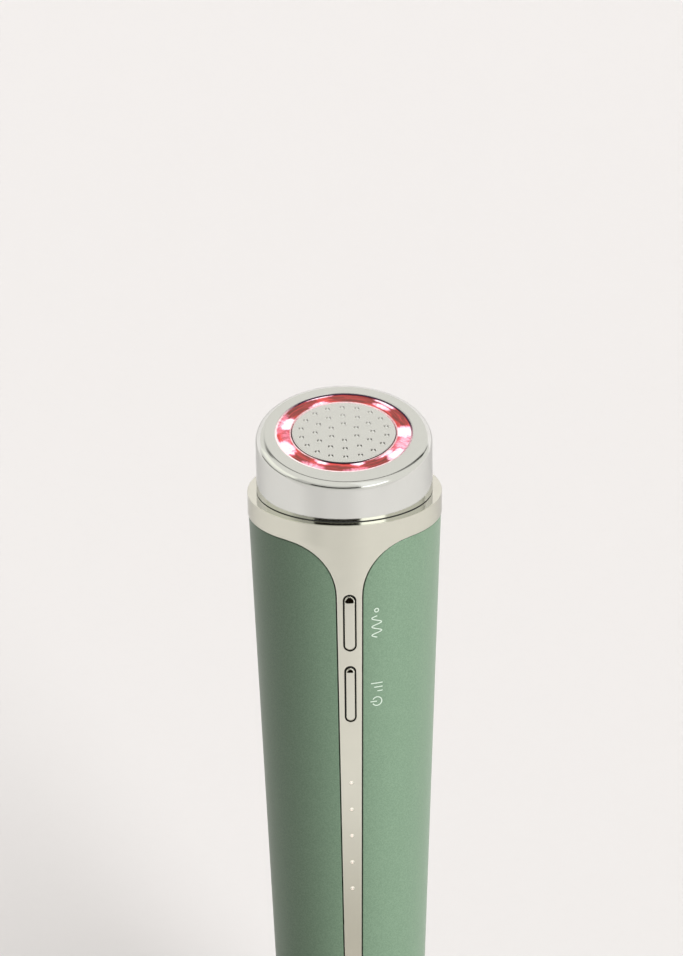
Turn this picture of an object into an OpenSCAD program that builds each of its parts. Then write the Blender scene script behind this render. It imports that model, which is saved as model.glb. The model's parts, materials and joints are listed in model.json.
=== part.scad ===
// Facial toning wand: a tapered, pocket-torch-shaped handle with a slanted round
// treatment head. Millimetres, +Z up, origin at the middle of the foot.
// The control strip, keys and lights face -Y, and the head slants down towards -Y.

/* [Body] */
// Height of the joint between collar and head above the table
seam_z = 164; // [160:1:180]
// Diameter of the coloured body where it meets the collar
body_top_d = 41.6; // [40.8:0.2:45]
// Diameter of the body's cone at the table
body_base_d = 29.6; // [29.2:0.2:33]
// Wall of the coloured body
shell_wall = 1.6; // [1.2:0.1:1.7]
// Height that the bright trim stands proud of the coloured body
trim_proud = 0.2; // [0.1:0.05:0.4]
// Groove between the trim and the coloured body
groove = 0.2; // [0.1:0.05:0.4]
// Height of the plain band of the collar
collar_h = 4.7; // [4.5:0.1:8]
// Rounding of the collar's top edge
collar_edge = 0.3; // [0.2:0.1:1.2]
// Thickness of the flange at the collar's top
flange_t = 1.5; // [1:0.1:2]
// Height of the bright cap at the foot
base_h = 5; // [4:0.5:6]

/* [Control strip] */
// Width of the strip at the foot of its flare
strip_top_w = 5.4; // [5:0.1:7]
// Width of the strip at the base cap
strip_base_w = 2.6; // [2:0.1:4]
// Sideways reach of the flare on each side
flare_w = 10.8; // [6:0.2:13]
// Height of the flare
flare_h = 12; // [8:0.5:13]
// Distance from the seam down to the middle of the mode key
mode_drop = 22.6; // [22:0.1:24]
// Distance between the middles of the two keys
key_pitch = 16.9; // [15.5:0.1:18]
// Length of a key's slot
key_slot_l = 13.2; // [10:0.1:14]
// Metal left on each side of a key's slot
key_margin = 1.2; // [0.9:0.05:1.4]
// Running gap around a key
key_gap = 0.15; // [0.1:0.01:0.25]
// Height of a key above the strip
key_proud = 0.8; // [0.5:0.1:1]
// Travel of a key
key_travel = 0.35; // [0.2:0.05:0.4]
// Distance from the seam down to the first indicator light
light_drop = 61; // [58:0.5:63]
// Spacing of the indicator lights
light_pitch = 6.5; // [5:0.1:7]
// Number of indicator lights
light_count = 5; // [3:1:5]
// Diameter of an indicator light
light_d = 1; // [0.6:0.1:1.2]

/* [Head] */
// Diameter of the head
head_d = 38; // [37.4:0.1:38.6]
// Height of the head on its axis, above the seam
head_h = 13.2; // [12.8:0.1:16]
// Slant of the treatment face
head_tilt = 13.7; // [8:0.1:15]
// Rounding of the head's shoulder
head_fillet = 2.5; // [2.2:0.1:3.2]
// Wall of the head cap
cap_wall = 1.2; // [1:0.1:1.4]
// Gap between the head cap and the collar
head_gap = 0.15; // [0.1:0.05:0.5]
// Diameter of the opening for the light ring
ring_d = 29.6; // [28.4:0.1:29.6]
// Depth of the lens below the treatment face
lens_recess = 0.25; // [0.2:0.05:0.6]
// Thickness of the lens
lens_t = 1.8; // [1.4:0.1:1.8]
// Diameter of the centre electrode
electrode_d = 22.4; // [20:0.1:23]
// Thickness of the centre electrode
electrode_t = 2; // [1.6:0.1:2]
// Diameter of a massage bump
bump_d = 1.3; // [0.8:0.1:1.6]
// Height of a massage bump
bump_h = 0.35; // [0.2:0.05:0.5]
// Spacing of the rings of bumps
bump_pitch = 3.1; // [2.6:0.05:3.2]
// Number of rings of bumps
bump_rings = 3; // [1:1:3]
// Number of treatment lamps
lamp_count = 8; // [4:1:10]
// Turn of the first lamp from the front
lamp_phase = 10; // [0:1:40]

/* [Inside] */
// Wall of the chassis
chassis_wall = 1.4; // [1.2:0.1:1.5]
// Clearance of pieces that slide together
fit = 0.15; // [0.1:0.01:0.2]
// Width of the main board
board_w = 16; // [15.5:0.5:17]
// Length of the main board
board_l = 90; // [86:1:92]
// Distance from the seam down to the main board's top end
board_drop = 14; // [12:0.5:15]
// Thickness of a circuit board
board_t = 1; // [0.8:0.1:1.2]
// Height of a key switch's housing
switch_h = 2; // [1.6:0.1:2.2]
// Diameter of the battery cell
battery_d = 18.3; // [14:0.1:18.5]
// Length of the battery cell
battery_l = 50; // [40:0.5:50]
// Diameter of the vibration motor
motor_d = 7; // [6:0.1:7.4]
// Length of the vibration motor
motor_l = 16; // [12:0.5:16]
// Distance from the seam down to the middle of the motor
motor_drop = 28; // [27:0.5:30]
// Radius of the motor's offset weight
weight_r = 3.1; // [2.4:0.1:3.3]
// Length of the motor's offset weight
weight_h = 4; // [3:0.5:5]
// Diameter of the motor's shaft
shaft_d = 1; // [0.8:0.1:1.2]
// Height of the lower bay, which holds the charging board
lower_bay_h = 19; // [18:0.5:21]
// Height of the foot pad below the base cap
foot_proud = 0.4; // [0.3:0.1:0.8]
// Thickness of the foot pad
pad_t = 1.1; // [0.9:0.1:1.4]
// Width of the charging socket
usb_w = 9; // [8.8:0.1:9.2]
// Thickness of the charging socket
usb_t = 3.3; // [3.1:0.1:3.4]
// Length of the charging socket
usb_l = 7.4; // [6.5:0.1:8]

/* [Hidden] */
$fn = 96;

// Colours
sage = "#8fa98f";
chrome = "#d9d6ca";
board_green = "#1f5a3a";
dark_plastic = "#33363a";
pale_plastic = "#e8e6df";
red_light = "#ff5a5a";
rubber_grey = "#5a5d60";

// Heights of the outer pieces
collar_z0 = seam_z - collar_h;
flare_z0 = collar_z0 - flare_h;
head_z = seam_z + head_h;
taper = (body_top_d - body_base_d) / 2 / collar_z0;
taper_a = atan(taper);
trim_t = shell_wall + trim_proud;
far = 60; // reach of a cutting block past any piece
over = 1; // how far a cut runs past a face
seat_gap = 0.05; // between pieces that are stacked on each other
slip = 0.1; // between a piece and the hole that it passes through

function body_r(z) = body_base_d / 2 + taper * z;
function strip_r(z) = body_r(z) + trim_proud;
function strip_half_w(z) =
    (strip_base_w + (strip_top_w - strip_base_w) * (z - base_h) / (flare_z0 - base_h)) / 2;

// Depths behind the strip's face, and lengths along it
key_flange_y = trim_t + 0.3;
key_flange_t = 0.8;
key_stem_h = 0.4;
plunger_y = key_flange_y + key_flange_t + key_stem_h;
plunger_r = 1;
plunger_stroke = 0.9;
plunger_reach = 0.6;
switch_y = plunger_y + plunger_stroke;
board_y = switch_y + switch_h;
standoff_h = 1;
deck_y = board_y + board_t + standoff_h;
board_s1 = (seam_z - board_drop) / cos(taper_a);
board_s0 = board_s1 - board_l;
key_s = [for (drop = [mode_drop, mode_drop + key_pitch]) (seam_z - drop) / cos(taper_a)];
light_s = [for (i = [0 : light_count - 1])
    (seam_z - light_drop - i * light_pitch) / cos(taper_a)];

// Foot
pad_r = body_r(0) - 2.6;
base_plate_t = 3;
base_floor_z = foot_proud + base_plate_t;
spigot_h = 4;
spigot_wall = 1.4;
spigot_base_r = body_r(base_h) - shell_wall - fit;
base_seal_r = 0.5;
base_seal_z = base_h + 1.2;

// Bays of the chassis, from the foot upwards
bulkhead_t = 2;
chassis_z0 = base_h + spigot_h + 1;
lower_bay_z0 = chassis_z0 + bulkhead_t;
lower_bay_z1 = lower_bay_z0 + lower_bay_h;
cell_bay_z0 = lower_bay_z1 + bulkhead_t;
cell_below = 2.5;
cell_above = 1.5;
cell_bay_z1 = cell_bay_z0 + cell_below + battery_l + cell_above;
parts_bay_z0 = cell_bay_z1 + bulkhead_t;
motor_z0 = seam_z - motor_drop - motor_l / 2;
motor_shelf_z0 = motor_z0 - bulkhead_t;
chassis_top = seam_z - flange_t;
top_plate_t = 2.5;
motor_bay_z1 = chassis_top - top_plate_t;

// Battery and motor, behind the deck
battery_z0 = cell_bay_z0 + cell_below;
battery_y = deck_back(battery_z0) + battery_d / 2 + 0.3;
motor_y = 5.5;
shaft_sunk = 9.5;
shaft_clear = 0.04;
weight_gap = 0.6;

function deck_back(z) = -strip_r(z) + deck_y + chassis_wall;

// Points given behind the strip's face, or under the treatment face, in the row's frame
function from_strip(p) = [
    p.x,
    -strip_r(0) + p.y * cos(taper_a) - p.z * sin(taper_a),
    p.y * sin(taper_a) + p.z * cos(taper_a)
];
function from_head(p) = [
    p.x,
    p.y * cos(head_tilt) - p.z * sin(head_tilt),
    head_z + p.y * sin(head_tilt) + p.z * cos(head_tilt)
];

module strip_frame() {
    translate([0, -strip_r(0), 0]) rotate([taper_a, 0, 0]) children();
}

module head_frame() {
    translate([0, 0, head_z]) rotate([head_tilt, 0, 0]) children();
}

// Slants a shape turned about Z, so that its level top lies in the treatment face
module slanted() {
    multmatrix([
        [1, 0, 0, 0],
        [0, 1, 0, 0],
        [0, tan(head_tilt), 1, head_z],
        [0, 0, 0, 1]
    ]) children();
}

// Levels under the treatment face, measured square to it
cap_under = cap_wall * cos(head_tilt);
lens_top = -lens_recess;
lens_bottom = lens_top - lens_t;
channel_top = lens_bottom - seat_gap;
channel_h = 2.1;
channel_floor_t = 0.5;
channel_wall = 0.6;
lamp_board_top = channel_top - channel_h - seat_gap;
lamp_board_bottom = lamp_board_top - board_t;
lens_flange_r = ring_d / 2 + 1;
pocket_r = lens_flange_r + 0.3;
lamp_board_r = pocket_r - slip;
channel_r = ring_d / 2 + channel_wall;
channel_inner_r = electrode_d / 2 - channel_wall;
lamp_r = (ring_d + electrode_d) / 4;
lamp = [2, 2, 0.9];
stud_r = 1.5;
stud_end = 0.8;
sleeve_r = 2.6;
sleeve_bottom = lamp_board_bottom - 0.9;
tag_t = 0.4;
tag_w = 2;
tag_l = 5.5;
nut_h = 1.6;
nut_r = 3.1;
thermistor_r = 0.8;
thermistor_x = 6.5;
thermistor_turn = 200;
thermistor_below = 0.4;
contact_w = 2.4;
contact_leaf_t = 0.3;
contact_drop = 2.6;
cap_inner_r = head_d / 2 - cap_wall;
head_base_r = cap_inner_r - fit;
flange_bore_r = head_base_r - 1.8;
spigot_r = flange_bore_r - fit;
cavity_r = pocket_r - 2.6;
tower_r = pocket_r + 0.85;
head_floor_t = 2;
head_floor_z = seam_z + head_floor_t;
seal_step = 0.7;
head_seal_r = 0.4;
wire_hole_r = 5.5;

// Screws
screw_r = 0.95;
pilot_r = screw_r + 0.05;
clear_r = screw_r + 0.15;
boss_r = 2.3;
head_screw_pcr = 9.6;
head_screw_l = 8;
head_screw_head = [1.9, 1.4];
base_screw_x = 8.5;
base_screw_l = 7;
base_screw_head = [1.8, 0.8];
base_screw_seat = pad_t + base_screw_head[1] + slip;
board_screw_x = board_w / 2 - 2;
board_screw_inset = 4;
board_screw_l = 4;
board_screw_head = [1.7, 1.1];
standoff_r = 1.9;

// Openings of the chassis: half widths and lengths
lead_window_w = 4;
lead_window_l = 14;
rear_window_w = 6;
head_window_w = 5;
head_window_l = 12.5;
rear_sill = 4;
parts_window_w = board_screw_x - 2.2;

// Parts of the main board
parts_s0 = parts_bay_z0 / cos(taper_a);
can_r = parts_window_w / 2 - 0.3;
can_s0 = parts_s0 + 14;
indicator = [1.6, 0.6, 0.8];
socket_box = [5, 3, 4];
ribbon_w = 2.4;
ribbon_x = 1.1;
ribbon_t = 0.3;
ribbon_socket_box = [ribbon_w + 1.2, 1.6, 3];
socket_inset = 1;
wire_d = 0.9;

// Charging board, behind its socket
charge_board_w = 11.6;
charge_board_y = usb_t / 2;
charge_board_z0 = base_floor_z + 0.3;
charge_board_z1 = lower_bay_z0 + 6;

// ---------- shapes that repeat ----------

module cone(z0, z1, grow) {
    translate([0, 0, z0])
        cylinder(h = z1 - z0, r1 = body_r(z0) + grow, r2 = body_r(z1) + grow);
}

// Right edge of the strip and its flare, seen from the front, moved out by a groove
function trim_edge(grow, bottom) =
    let (steps = 20)
    concat(
        [[strip_half_w(bottom) + grow, bottom]],
        [for (i = [0 : steps])
            let (
                a = 90 * i / steps,
                normal = [flare_h * cos(a), -flare_w * sin(a)]
            )
            [strip_half_w(flare_z0) + flare_w * (1 - cos(a)), flare_z0 + flare_h * sin(a)]
                + grow * normal / norm(normal)]
    );

// A pill outline in the strip's plane, extruded inwards from depth y0 to y1
module pill(w, l, y0, y1) {
    steps = 16;
    translate([0, y1, 0]) rotate([90, 0, 0]) linear_extrude(y1 - y0) polygon([
        for (end = [1, -1]) for (i = [0 : steps])
            let (a = 180 * i / steps)
            end * [w / 2 * cos(a), (l - w) / 2 + w / 2 * sin(a)]
    ]);
}

// A block in the strip's frame, centred across and along, from depth y0 to y1
module block(w, l, y0, y1) {
    translate([-w / 2, y0, -l / 2]) cube([w, y1 - y0, l]);
}

module ring(r_out, r_in, z0, z1) {
    translate([0, 0, z0]) difference() {
        cylinder(h = z1 - z0, r = r_out);
        translate([0, 0, -over]) cylinder(h = z1 - z0 + 2 * over, r = r_in);
    }
}

// A pan-head screw: the underside of its head is at the origin, its shank points to -Z.
// head holds the head's radius and thickness.
module screw(length, head) {
    cross_w = 0.5;
    arm = 0.6 * head[0];
    difference() {
        cylinder(h = head[1], r = head[0]);
        for (turn = [0, 90]) rotate(turn)
            translate([-arm, -cross_w / 2, head[1] / 2]) cube([2 * arm, cross_w, head[1]]);
    }
    translate([0, 0, -length]) cylinder(h = length, r = screw_r);
}

function slot_w(i) = 2 * (strip_half_w(key_s[i] * cos(taper_a)) - key_margin);

// A point on a cubic curve with two ends and two handles
function bezier(p, t) =
    pow(1 - t, 3) * p[0] + 3 * pow(1 - t, 2) * t * p[1]
    + 3 * (1 - t) * t * t * p[2] + pow(t, 3) * p[3];

function unit(v) = v / norm(v);

// A wire that follows a cubic curve, as one swept tube
module wire(p, d) {
    rings = 20;
    sides = 8;
    line = [for (i = [0 : rings]) bezier(p, i / rings)];
    points = [for (i = [0 : rings])
        let (
            t = unit(line[min(i + 1, rings)] - line[max(i - 1, 0)]),
            n = unit(cross([1, 0, 0], t)),
            b = cross(t, n)
        )
        for (k = [0 : sides - 1])
            line[i] + d / 2 * (cos(360 * k / sides) * n + sin(360 * k / sides) * b)];
    walls = [for (i = [0 : rings - 1]) for (k = [0 : sides - 1])
        [
            i * sides + k,
            (i + 1) * sides + k,
            (i + 1) * sides + (k + 1) % sides,
            i * sides + (k + 1) % sides
        ]];
    ends = [
        [for (k = [0 : sides - 1]) k],
        [for (k = [sides - 1 : -1 : 0]) rings * sides + k]
    ];
    polyhedron(points, concat(walls, ends));
}

// ---------- outer pieces ----------

module shell() {
    color(sage) difference() {
        cone(base_h, collar_z0 - groove, 0);
        cone(base_h - over, collar_z0 + over, -shell_wall);
        shell_slot();
    }
}

// The slot at the front of the coloured body, a groove wider than the strip
module shell_slot() {
    right = trim_edge(groove, base_h - over);
    top = right[len(right) - 1];
    edge = concat(right, [[top.x, collar_z0 + over]]);
    rotate([90, 0, 0]) linear_extrude(far)
        polygon(concat(edge, [for (i = [len(edge) - 1 : -1 : 0]) [-edge[i].x, edge[i].y]]));
}

// The trim before it is cut to its outline: a tapered sleeve with the collar on top
module trim_sleeve() {
    steps = 8;
    r = strip_r(collar_z0);
    arc = [for (i = [0 : steps])
        let (a = 90 * i / steps)
        [r - collar_edge * (1 - cos(a)), seam_z - collar_edge * (1 - sin(a))]];
    rotate_extrude() polygon(concat(
        [[strip_r(base_h) - trim_t, base_h], [strip_r(base_h), base_h], [r, collar_z0]],
        arc,
        [
            [flange_bore_r, seam_z],
            [flange_bore_r, chassis_top],
            [r - trim_t, chassis_top],
            [r - trim_t, collar_z0]
        ]
    ));
}

module trim() {
    below = base_h - over;
    color(chrome) difference() {
        trim_sleeve();
        translate([-far, 0, below]) cube([2 * far, far, collar_z0 - below]);
        for (side = [0, 1]) mirror([side, 0, 0]) beside_strip(below);
        strip_frame() {
            for (i = [0, 1]) translate([0, 0, key_s[i]])
                pill(slot_w(i), key_slot_l, -over, trim_t + over);
            for (s = light_s) translate([0, -over, s]) rotate([-90, 0, 0])
                cylinder(h = trim_t + 2 * over, d = light_d + slip);
        }
    }
}

// What is cut away on one side of the strip and its flare
module beside_strip(below) {
    edge = trim_edge(0, below);
    rotate([90, 0, 0]) translate([0, 0, -over]) linear_extrude(far + over)
        polygon(concat(edge, [[far, collar_z0], [far, below]]));
}

// The foot's bright cap: rounded rim, pad recess, socket opening and two screw holes
module base_cap() {
    rim = 1.2;
    steps = 8;
    arc = [for (i = [0 : steps])
        let (a = 90 * i / steps)
        [
            strip_r(foot_proud + rim) - rim * (1 - sin(a)),
            foot_proud + rim * (1 - cos(a))
        ]];
    color(chrome) difference() {
        union() {
            rotate_extrude() polygon(concat(
                [[0, foot_proud]], arc, [[strip_r(base_h), base_h], [0, base_h]]
            ));
            translate([0, 0, base_h]) cylinder(h = spigot_h, r = spigot_base_r);
        }
        translate([0, 0, base_floor_z]) cylinder(h = far, r = spigot_base_r - spigot_wall);
        translate([0, 0, -over]) cylinder(h = over + pad_t, r = pad_r);
        translate([0, 0, -over]) linear_extrude(far) socket_outline(fit);
        at_base_screws() {
            translate([0, 0, -far / 2]) cylinder(h = far, r = clear_r);
            translate([0, 0, -far]) cylinder(h = far, r = base_screw_head[0] + 2 * slip);
        }
        ring(far, spigot_base_r - 2 * base_seal_r + slip, base_seal_z,
            base_seal_z + 2 * base_seal_r + slip);
    }
}

module at_base_screws() {
    for (side = [-1, 1]) translate([side * base_screw_x, 0, base_screw_seat]) children();
}

module socket_outline(grow) {
    flat = usb_w - usb_t;
    square([flat, usb_t + 2 * grow], center = true);
    for (side = [-1, 1]) translate([side * flat / 2, 0]) circle(d = usb_t + 2 * grow);
}

module foot_pad() {
    plug_room = 0.6;
    color(rubber_grey) difference() {
        cylinder(h = pad_t, r = pad_r - slip);
        translate([0, 0, -over]) linear_extrude(far) socket_outline(plug_room);
    }
}

module base_seal() {
    color("black") translate([0, 0, base_seal_z + base_seal_r + seat_gap]) rotate_extrude()
        translate([spigot_base_r - base_seal_r + fit, 0]) circle(r = base_seal_r, $fn = 24);
}

module base_screws() {
    color("silver") at_base_screws() rotate([180, 0, 0]) screw(base_screw_l, base_screw_head);
}

// A key: cap, a lip that keeps it behind the strip, and a stem on its switch
module key(i) {
    w = slot_w(i) - 2 * key_gap;
    l = key_slot_l - 2 * key_gap;
    lip = 0.7;
    color(chrome) strip_frame() translate([0, 0, key_s[i]]) {
        pill(w, l, -key_proud, key_flange_y);
        pill(w + 2 * lip, l + 2 * lip, key_flange_y, key_flange_y + key_flange_t);
        pill(2.2 * plunger_r, 3.4 * plunger_r, key_flange_y + key_flange_t, plunger_y);
    }
}

module mode_button() { key(0); }

module power_button() { key(1); }

// ---------- treatment head ----------

// A round form with a slanted top, whose shoulder is rounded by a fillet
module slanted_form(r, depth, fillet, bottom) {
    steps = 6;
    sides = 72;
    shoulder = [for (i = [0 : steps])
        let (a = 90 * i / steps)
        [r - fillet * (1 - cos(a)), -depth - fillet * (1 - sin(a))]];
    hull() {
        slanted() rotate_extrude($fn = sides)
            polygon(concat([[0, -depth - fillet]], shoulder, [[0, -depth]]));
        translate([0, 0, bottom]) cylinder(h = 1, r = r, $fn = sides);
    }
}

module head_cap() {
    color(chrome) difference() {
        slanted_form(head_d / 2, 0, head_fillet, seam_z + head_gap);
        slanted_form(cap_inner_r, cap_wall, head_fillet - cap_wall, seam_z - over);
        head_frame() translate([0, 0, -far / 2]) cylinder(h = far, r = ring_d / 2);
    }
}

module centre_electrode() {
    edge = 0.3;
    r = electrode_d / 2;
    bump_sphere_r = (pow(bump_d / 2, 2) + pow(bump_h, 2)) / (2 * bump_h);
    stud_bottom = sleeve_bottom - tag_t - nut_h - stud_end;
    color(chrome) head_frame() {
        rotate_extrude() polygon([
            [0, 0], [0, -electrode_t], [r - edge, -electrode_t], [r, -electrode_t + edge],
            [r, -edge], [r - edge, 0]
        ]);
        translate([0, 0, stud_bottom])
            cylinder(h = -electrode_t / 2 - stud_bottom, r = stud_r);
        for (k = [1 : bump_rings]) for (i = [0 : 6 * k - 1])
            rotate(-90 + 360 * i / (6 * k))
                translate([k * bump_pitch, 0, bump_h - bump_sphere_r])
                    sphere(r = bump_sphere_r);
    }
}

// Clear ring with a flange that the head cap clamps
module lens_ring() {
    flange_lap = 0.3;
    color([1, 0.6, 0.6, 0.6]) head_frame() {
        ring(ring_d / 2 - seat_gap, electrode_d / 2 + slip, lens_bottom, lens_top);
        ring(lens_flange_r, ring_d / 2 - flange_lap, lens_bottom, -cap_under - seat_gap);
    }
}

module at_lamps() {
    for (i = [0 : lamp_count - 1])
        rotate(-90 + lamp_phase + 360 * i / lamp_count) translate([lamp_r, 0, 0]) children();
}

// White trough that throws the lamps' light up into the lens
module light_channel() {
    window = lamp.x + 4 * slip;
    color(pale_plastic) head_frame() translate([0, 0, channel_top - channel_h]) difference() {
        ring(channel_r, channel_inner_r, 0, channel_h);
        ring(
            channel_r - channel_wall, channel_inner_r + channel_wall,
            channel_floor_t, channel_h + over
        );
        at_lamps() translate([-window / 2, -window / 2, -over])
            cube([window, window, channel_floor_t + 2 * over]);
    }
}

module thermistor_hole() {
    rotate(thermistor_turn) translate([thermistor_x, 0, -far / 2])
        cylinder(h = far, r = thermistor_r + 2 * slip);
}

module lamp_board() {
    color(pale_plastic) head_frame() difference() {
        ring(lamp_board_r, sleeve_r + slip, lamp_board_bottom, lamp_board_top);
        thermistor_hole();
    }
}

module treatment_lamps() {
    color(red_light) head_frame() at_lamps()
        translate([-lamp.x / 2, -lamp.y / 2, lamp_board_top]) cube(lamp);
}

// Keeps the electrode apart from the lamp board, and lines the board's centre hole
module electrode_insulator() {
    color(dark_plastic) head_frame() difference() {
        union() {
            translate([0, 0, lamp_board_top]) cylinder(
                h = -electrode_t - lamp_board_top,
                r = channel_inner_r - 2 * slip
            );
            translate([0, 0, sleeve_bottom])
                cylinder(h = -electrode_t - sleeve_bottom, r = sleeve_r);
        }
        translate([0, 0, -far / 2]) cylinder(h = far, r = stud_r + slip);
        thermistor_hole();
    }
}

module electrode_tag() {
    color("gold") head_frame() difference() {
        translate([0, 0, sleeve_bottom - tag_t]) union() {
            cylinder(h = tag_t, r = 2 * stud_r);
            translate([-tag_w / 2, -tag_l, 0]) cube([tag_w, tag_l, tag_t]);
        }
        translate([0, 0, -far / 2]) cylinder(h = far, r = stud_r + seat_gap);
    }
}

module electrode_nut() {
    color("silver") head_frame() translate([0, 0, sleeve_bottom - tag_t - nut_h])
        difference() {
            cylinder(h = nut_h, r = nut_r, $fn = 6);
            translate([0, 0, -over]) cylinder(h = nut_h + 2 * over, r = stud_r + seat_gap);
        }
}

module skin_thermistor() {
    bottom = lamp_board_bottom - thermistor_below;
    color("black") head_frame() rotate(thermistor_turn) translate([thermistor_x, 0, bottom])
        cylinder(h = -electrode_t - bottom, r = thermistor_r);
}

// Spring leaf that joins the lamp board to the head cap
module cap_contact() {
    inner = channel_r + slip;
    reach = cap_inner_r - 4 * slip;
    color("gold") head_frame() {
        translate([inner, -contact_w / 2, lamp_board_top])
            cube([reach - inner, contact_w, contact_leaf_t]);
        translate([reach - contact_leaf_t, -contact_w / 2, lamp_board_top - contact_drop])
            cube([contact_leaf_t, contact_w, contact_drop + contact_leaf_t]);
    }
}

module under_slant(depth) {
    translate([0, 0, head_z - depth]) rotate([head_tilt, 0, 0])
        translate([-far, -far, 0]) cube([2 * far, 2 * far, far]);
}

// Carrier of the head: a pocket for the lamp board, on a spigot in the collar's flange
module head_base() {
    contact_room = 0.3;
    tower_depth = cap_wall - channel_top - cap_under + slip;
    color(dark_plastic) difference() {
        union() {
            difference() {
                translate([0, 0, seam_z]) cylinder(h = 2 * head_h, r = head_base_r);
                under_slant(head_fillet + 0.3);
            }
            difference() {
                translate([0, 0, seam_z]) cylinder(h = 2 * head_h, r = tower_r);
                under_slant(tower_depth);
            }
            translate([0, 0, chassis_top]) cylinder(h = flange_t, r = spigot_r);
        }
        head_frame() translate([0, 0, lamp_board_bottom]) cylinder(h = far, r = pocket_r);
        translate([0, 0, head_floor_z]) cylinder(h = far, r = cavity_r);
        translate([0, 0, seam_z - far / 2]) cylinder(h = far, r = wire_hole_r);
        ring(far, head_base_r - seal_step, seam_z, seam_z + 2 * head_seal_r + slip);
        head_frame() translate([
            channel_r,
            -contact_w / 2 - contact_room,
            lamp_board_top - contact_drop - contact_room
        ]) cube([far, contact_w + 2 * contact_room, far]);
        at_head_screws() translate([0, 0, -far / 2]) cylinder(h = far, r = clear_r);
    }
}

module at_head_screws() {
    for (a = [90, 210, 330]) rotate(a) translate([head_screw_pcr, 0, head_floor_z]) children();
}

module head_seal() {
    lift = 0.02;
    color("black") translate([0, 0, seam_z + head_seal_r + lift]) rotate_extrude()
        translate([head_base_r - seal_step + head_seal_r + lift, 0])
            circle(r = head_seal_r, $fn = 24);
}

module head_screws() {
    color("silver") at_head_screws() screw(head_screw_l, head_screw_head);
}

// ---------- chassis ----------

// Outer radius of the chassis above the taper
chassis_top_r = body_r(collar_z0) - shell_wall - fit;

// The space inside the body, behind the deck, drawn in by a distance from both
module bay(z0, z1, inset) {
    lap = 0.01;
    intersection() {
        union() {
            cone(z0, min(z1, collar_z0), -shell_wall - fit - inset);
            if (z1 > collar_z0) translate([0, 0, collar_z0 - lap])
                cylinder(h = z1 - collar_z0 + lap, r = chassis_top_r - inset);
        }
        strip_frame() translate([-far, deck_y + inset, -far]) cube([2 * far, far, 5 * far]);
    }
}

// A block through the deck, or the rear wall, between two heights
module window(half_w, z0, z1, y0, y1) {
    translate([-half_w, y0, z0]) cube([2 * half_w, y1 - y0, z1 - z0]);
}

module chassis_walls() {
    cell_window_w = min(battery_d / 2 + 2 * slip, body_r(cell_bay_z0) - shell_wall - fit - 1);
    difference() {
        bay(chassis_z0, chassis_top, 0);
        bay(lower_bay_z0, lower_bay_z1, chassis_wall);
        bay(cell_bay_z0, cell_bay_z1, chassis_wall);
        bay(parts_bay_z0, motor_shelf_z0, chassis_wall);
        bay(motor_z0, motor_bay_z1, chassis_wall);
        // assembly openings in the rear wall, one for each bay
        window(lead_window_w, lower_bay_z0 + bulkhead_t, lower_bay_z1, 0, far);
        window(cell_window_w, cell_bay_z0, cell_bay_z1, battery_y, far);
        window(rear_window_w, parts_bay_z0, motor_shelf_z0, 0, far);
        window(head_window_w, motor_z0, motor_bay_z1 - rear_sill, motor_y, far);
    }
}

module chassis_bosses() {
    translate([0, 0, motor_bay_z1]) cylinder(h = top_plate_t, r = chassis_top_r);
    at_head_screws() translate([0, 0, -head_floor_t - head_screw_l])
        cylinder(h = head_screw_l - flange_t - slip, r = boss_r);
    for (side = [-1, 1]) translate([side * base_screw_x, 0, base_floor_z])
        cylinder(h = chassis_z0 - base_floor_z + over, r = boss_r);
    translate([0, motor_y, motor_z0 - over])
        cylinder(h = over + 0.7 * motor_l, r = motor_d / 2 + 1.2);
    at_board_screws() translate([0, board_y + board_t, 0]) rotate([-90, 0, 0])
        cylinder(h = standoff_h + chassis_wall / 2, r = standoff_r);
}

module chassis() {
    color(dark_plastic) difference() {
        union() {
            chassis_walls();
            chassis_bosses();
        }
        // openings in the deck: charging leads, battery leads, tall parts and head leads
        window(lead_window_w, lower_bay_z1 - 0.8 * lead_window_l, lower_bay_z1, -far, 0);
        window(lead_window_w, cell_bay_z0, cell_bay_z0 + lead_window_l, -far,
            battery_y - battery_d / 4);
        window(parts_window_w, parts_bay_z0, motor_shelf_z0, -far, 0);
        window(head_window_w, motor_bay_z1 - head_window_l, motor_bay_z1 - slip, -far, 0);
        // bores
        translate([0, 0, motor_bay_z1 - over]) cylinder(h = far, r = wire_hole_r);
        translate([0, motor_y, motor_z0]) cylinder(h = far, r = motor_d / 2 + seat_gap);
        translate([0, motor_y, motor_shelf_z0 - over])
            cylinder(h = bulkhead_t + 2 * over, r = motor_d / 2 - 0.8);
        at_head_screws() translate([0, 0, -head_floor_t - head_screw_l - over])
            cylinder(h = head_screw_l + over + slip, r = pilot_r);
        at_base_screws() cylinder(h = base_screw_l + over, r = pilot_r);
        at_board_screws() translate([0, board_y, 0]) rotate([-90, 0, 0])
            cylinder(h = board_t + standoff_h + chassis_wall + over, r = pilot_r);
        charge_slot();
    }
}

// ---------- electronics behind the strip ----------

module at_board_screws() {
    strip_frame() for (side = [-1, 1])
        for (s = [board_s0 + board_screw_inset, board_s1 - board_screw_inset])
            translate([side * board_screw_x, 0, s]) children();
}

module main_board() {
    color(board_green) difference() {
        strip_frame() translate([-board_w / 2, board_y, board_s0])
            cube([board_w, board_t, board_l]);
        at_board_screws() translate([0, board_y - over, 0]) rotate([-90, 0, 0])
            cylinder(h = board_t + 2 * over, r = clear_r);
    }
}

module board_screws() {
    color("silver") at_board_screws() translate([0, board_y, 0]) rotate([90, 0, 0])
        screw(board_screw_l, board_screw_head);
}

module switch_housings() {
    color(dark_plastic) strip_frame() for (s = key_s) translate([0, 0, s]) difference() {
        block(6, 4, switch_y, board_y);
        translate([0, switch_y - over, 0]) rotate([-90, 0, 0])
            cylinder(h = over + plunger_reach + key_travel + 2 * slip, r = plunger_r + slip);
    }
}

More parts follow.
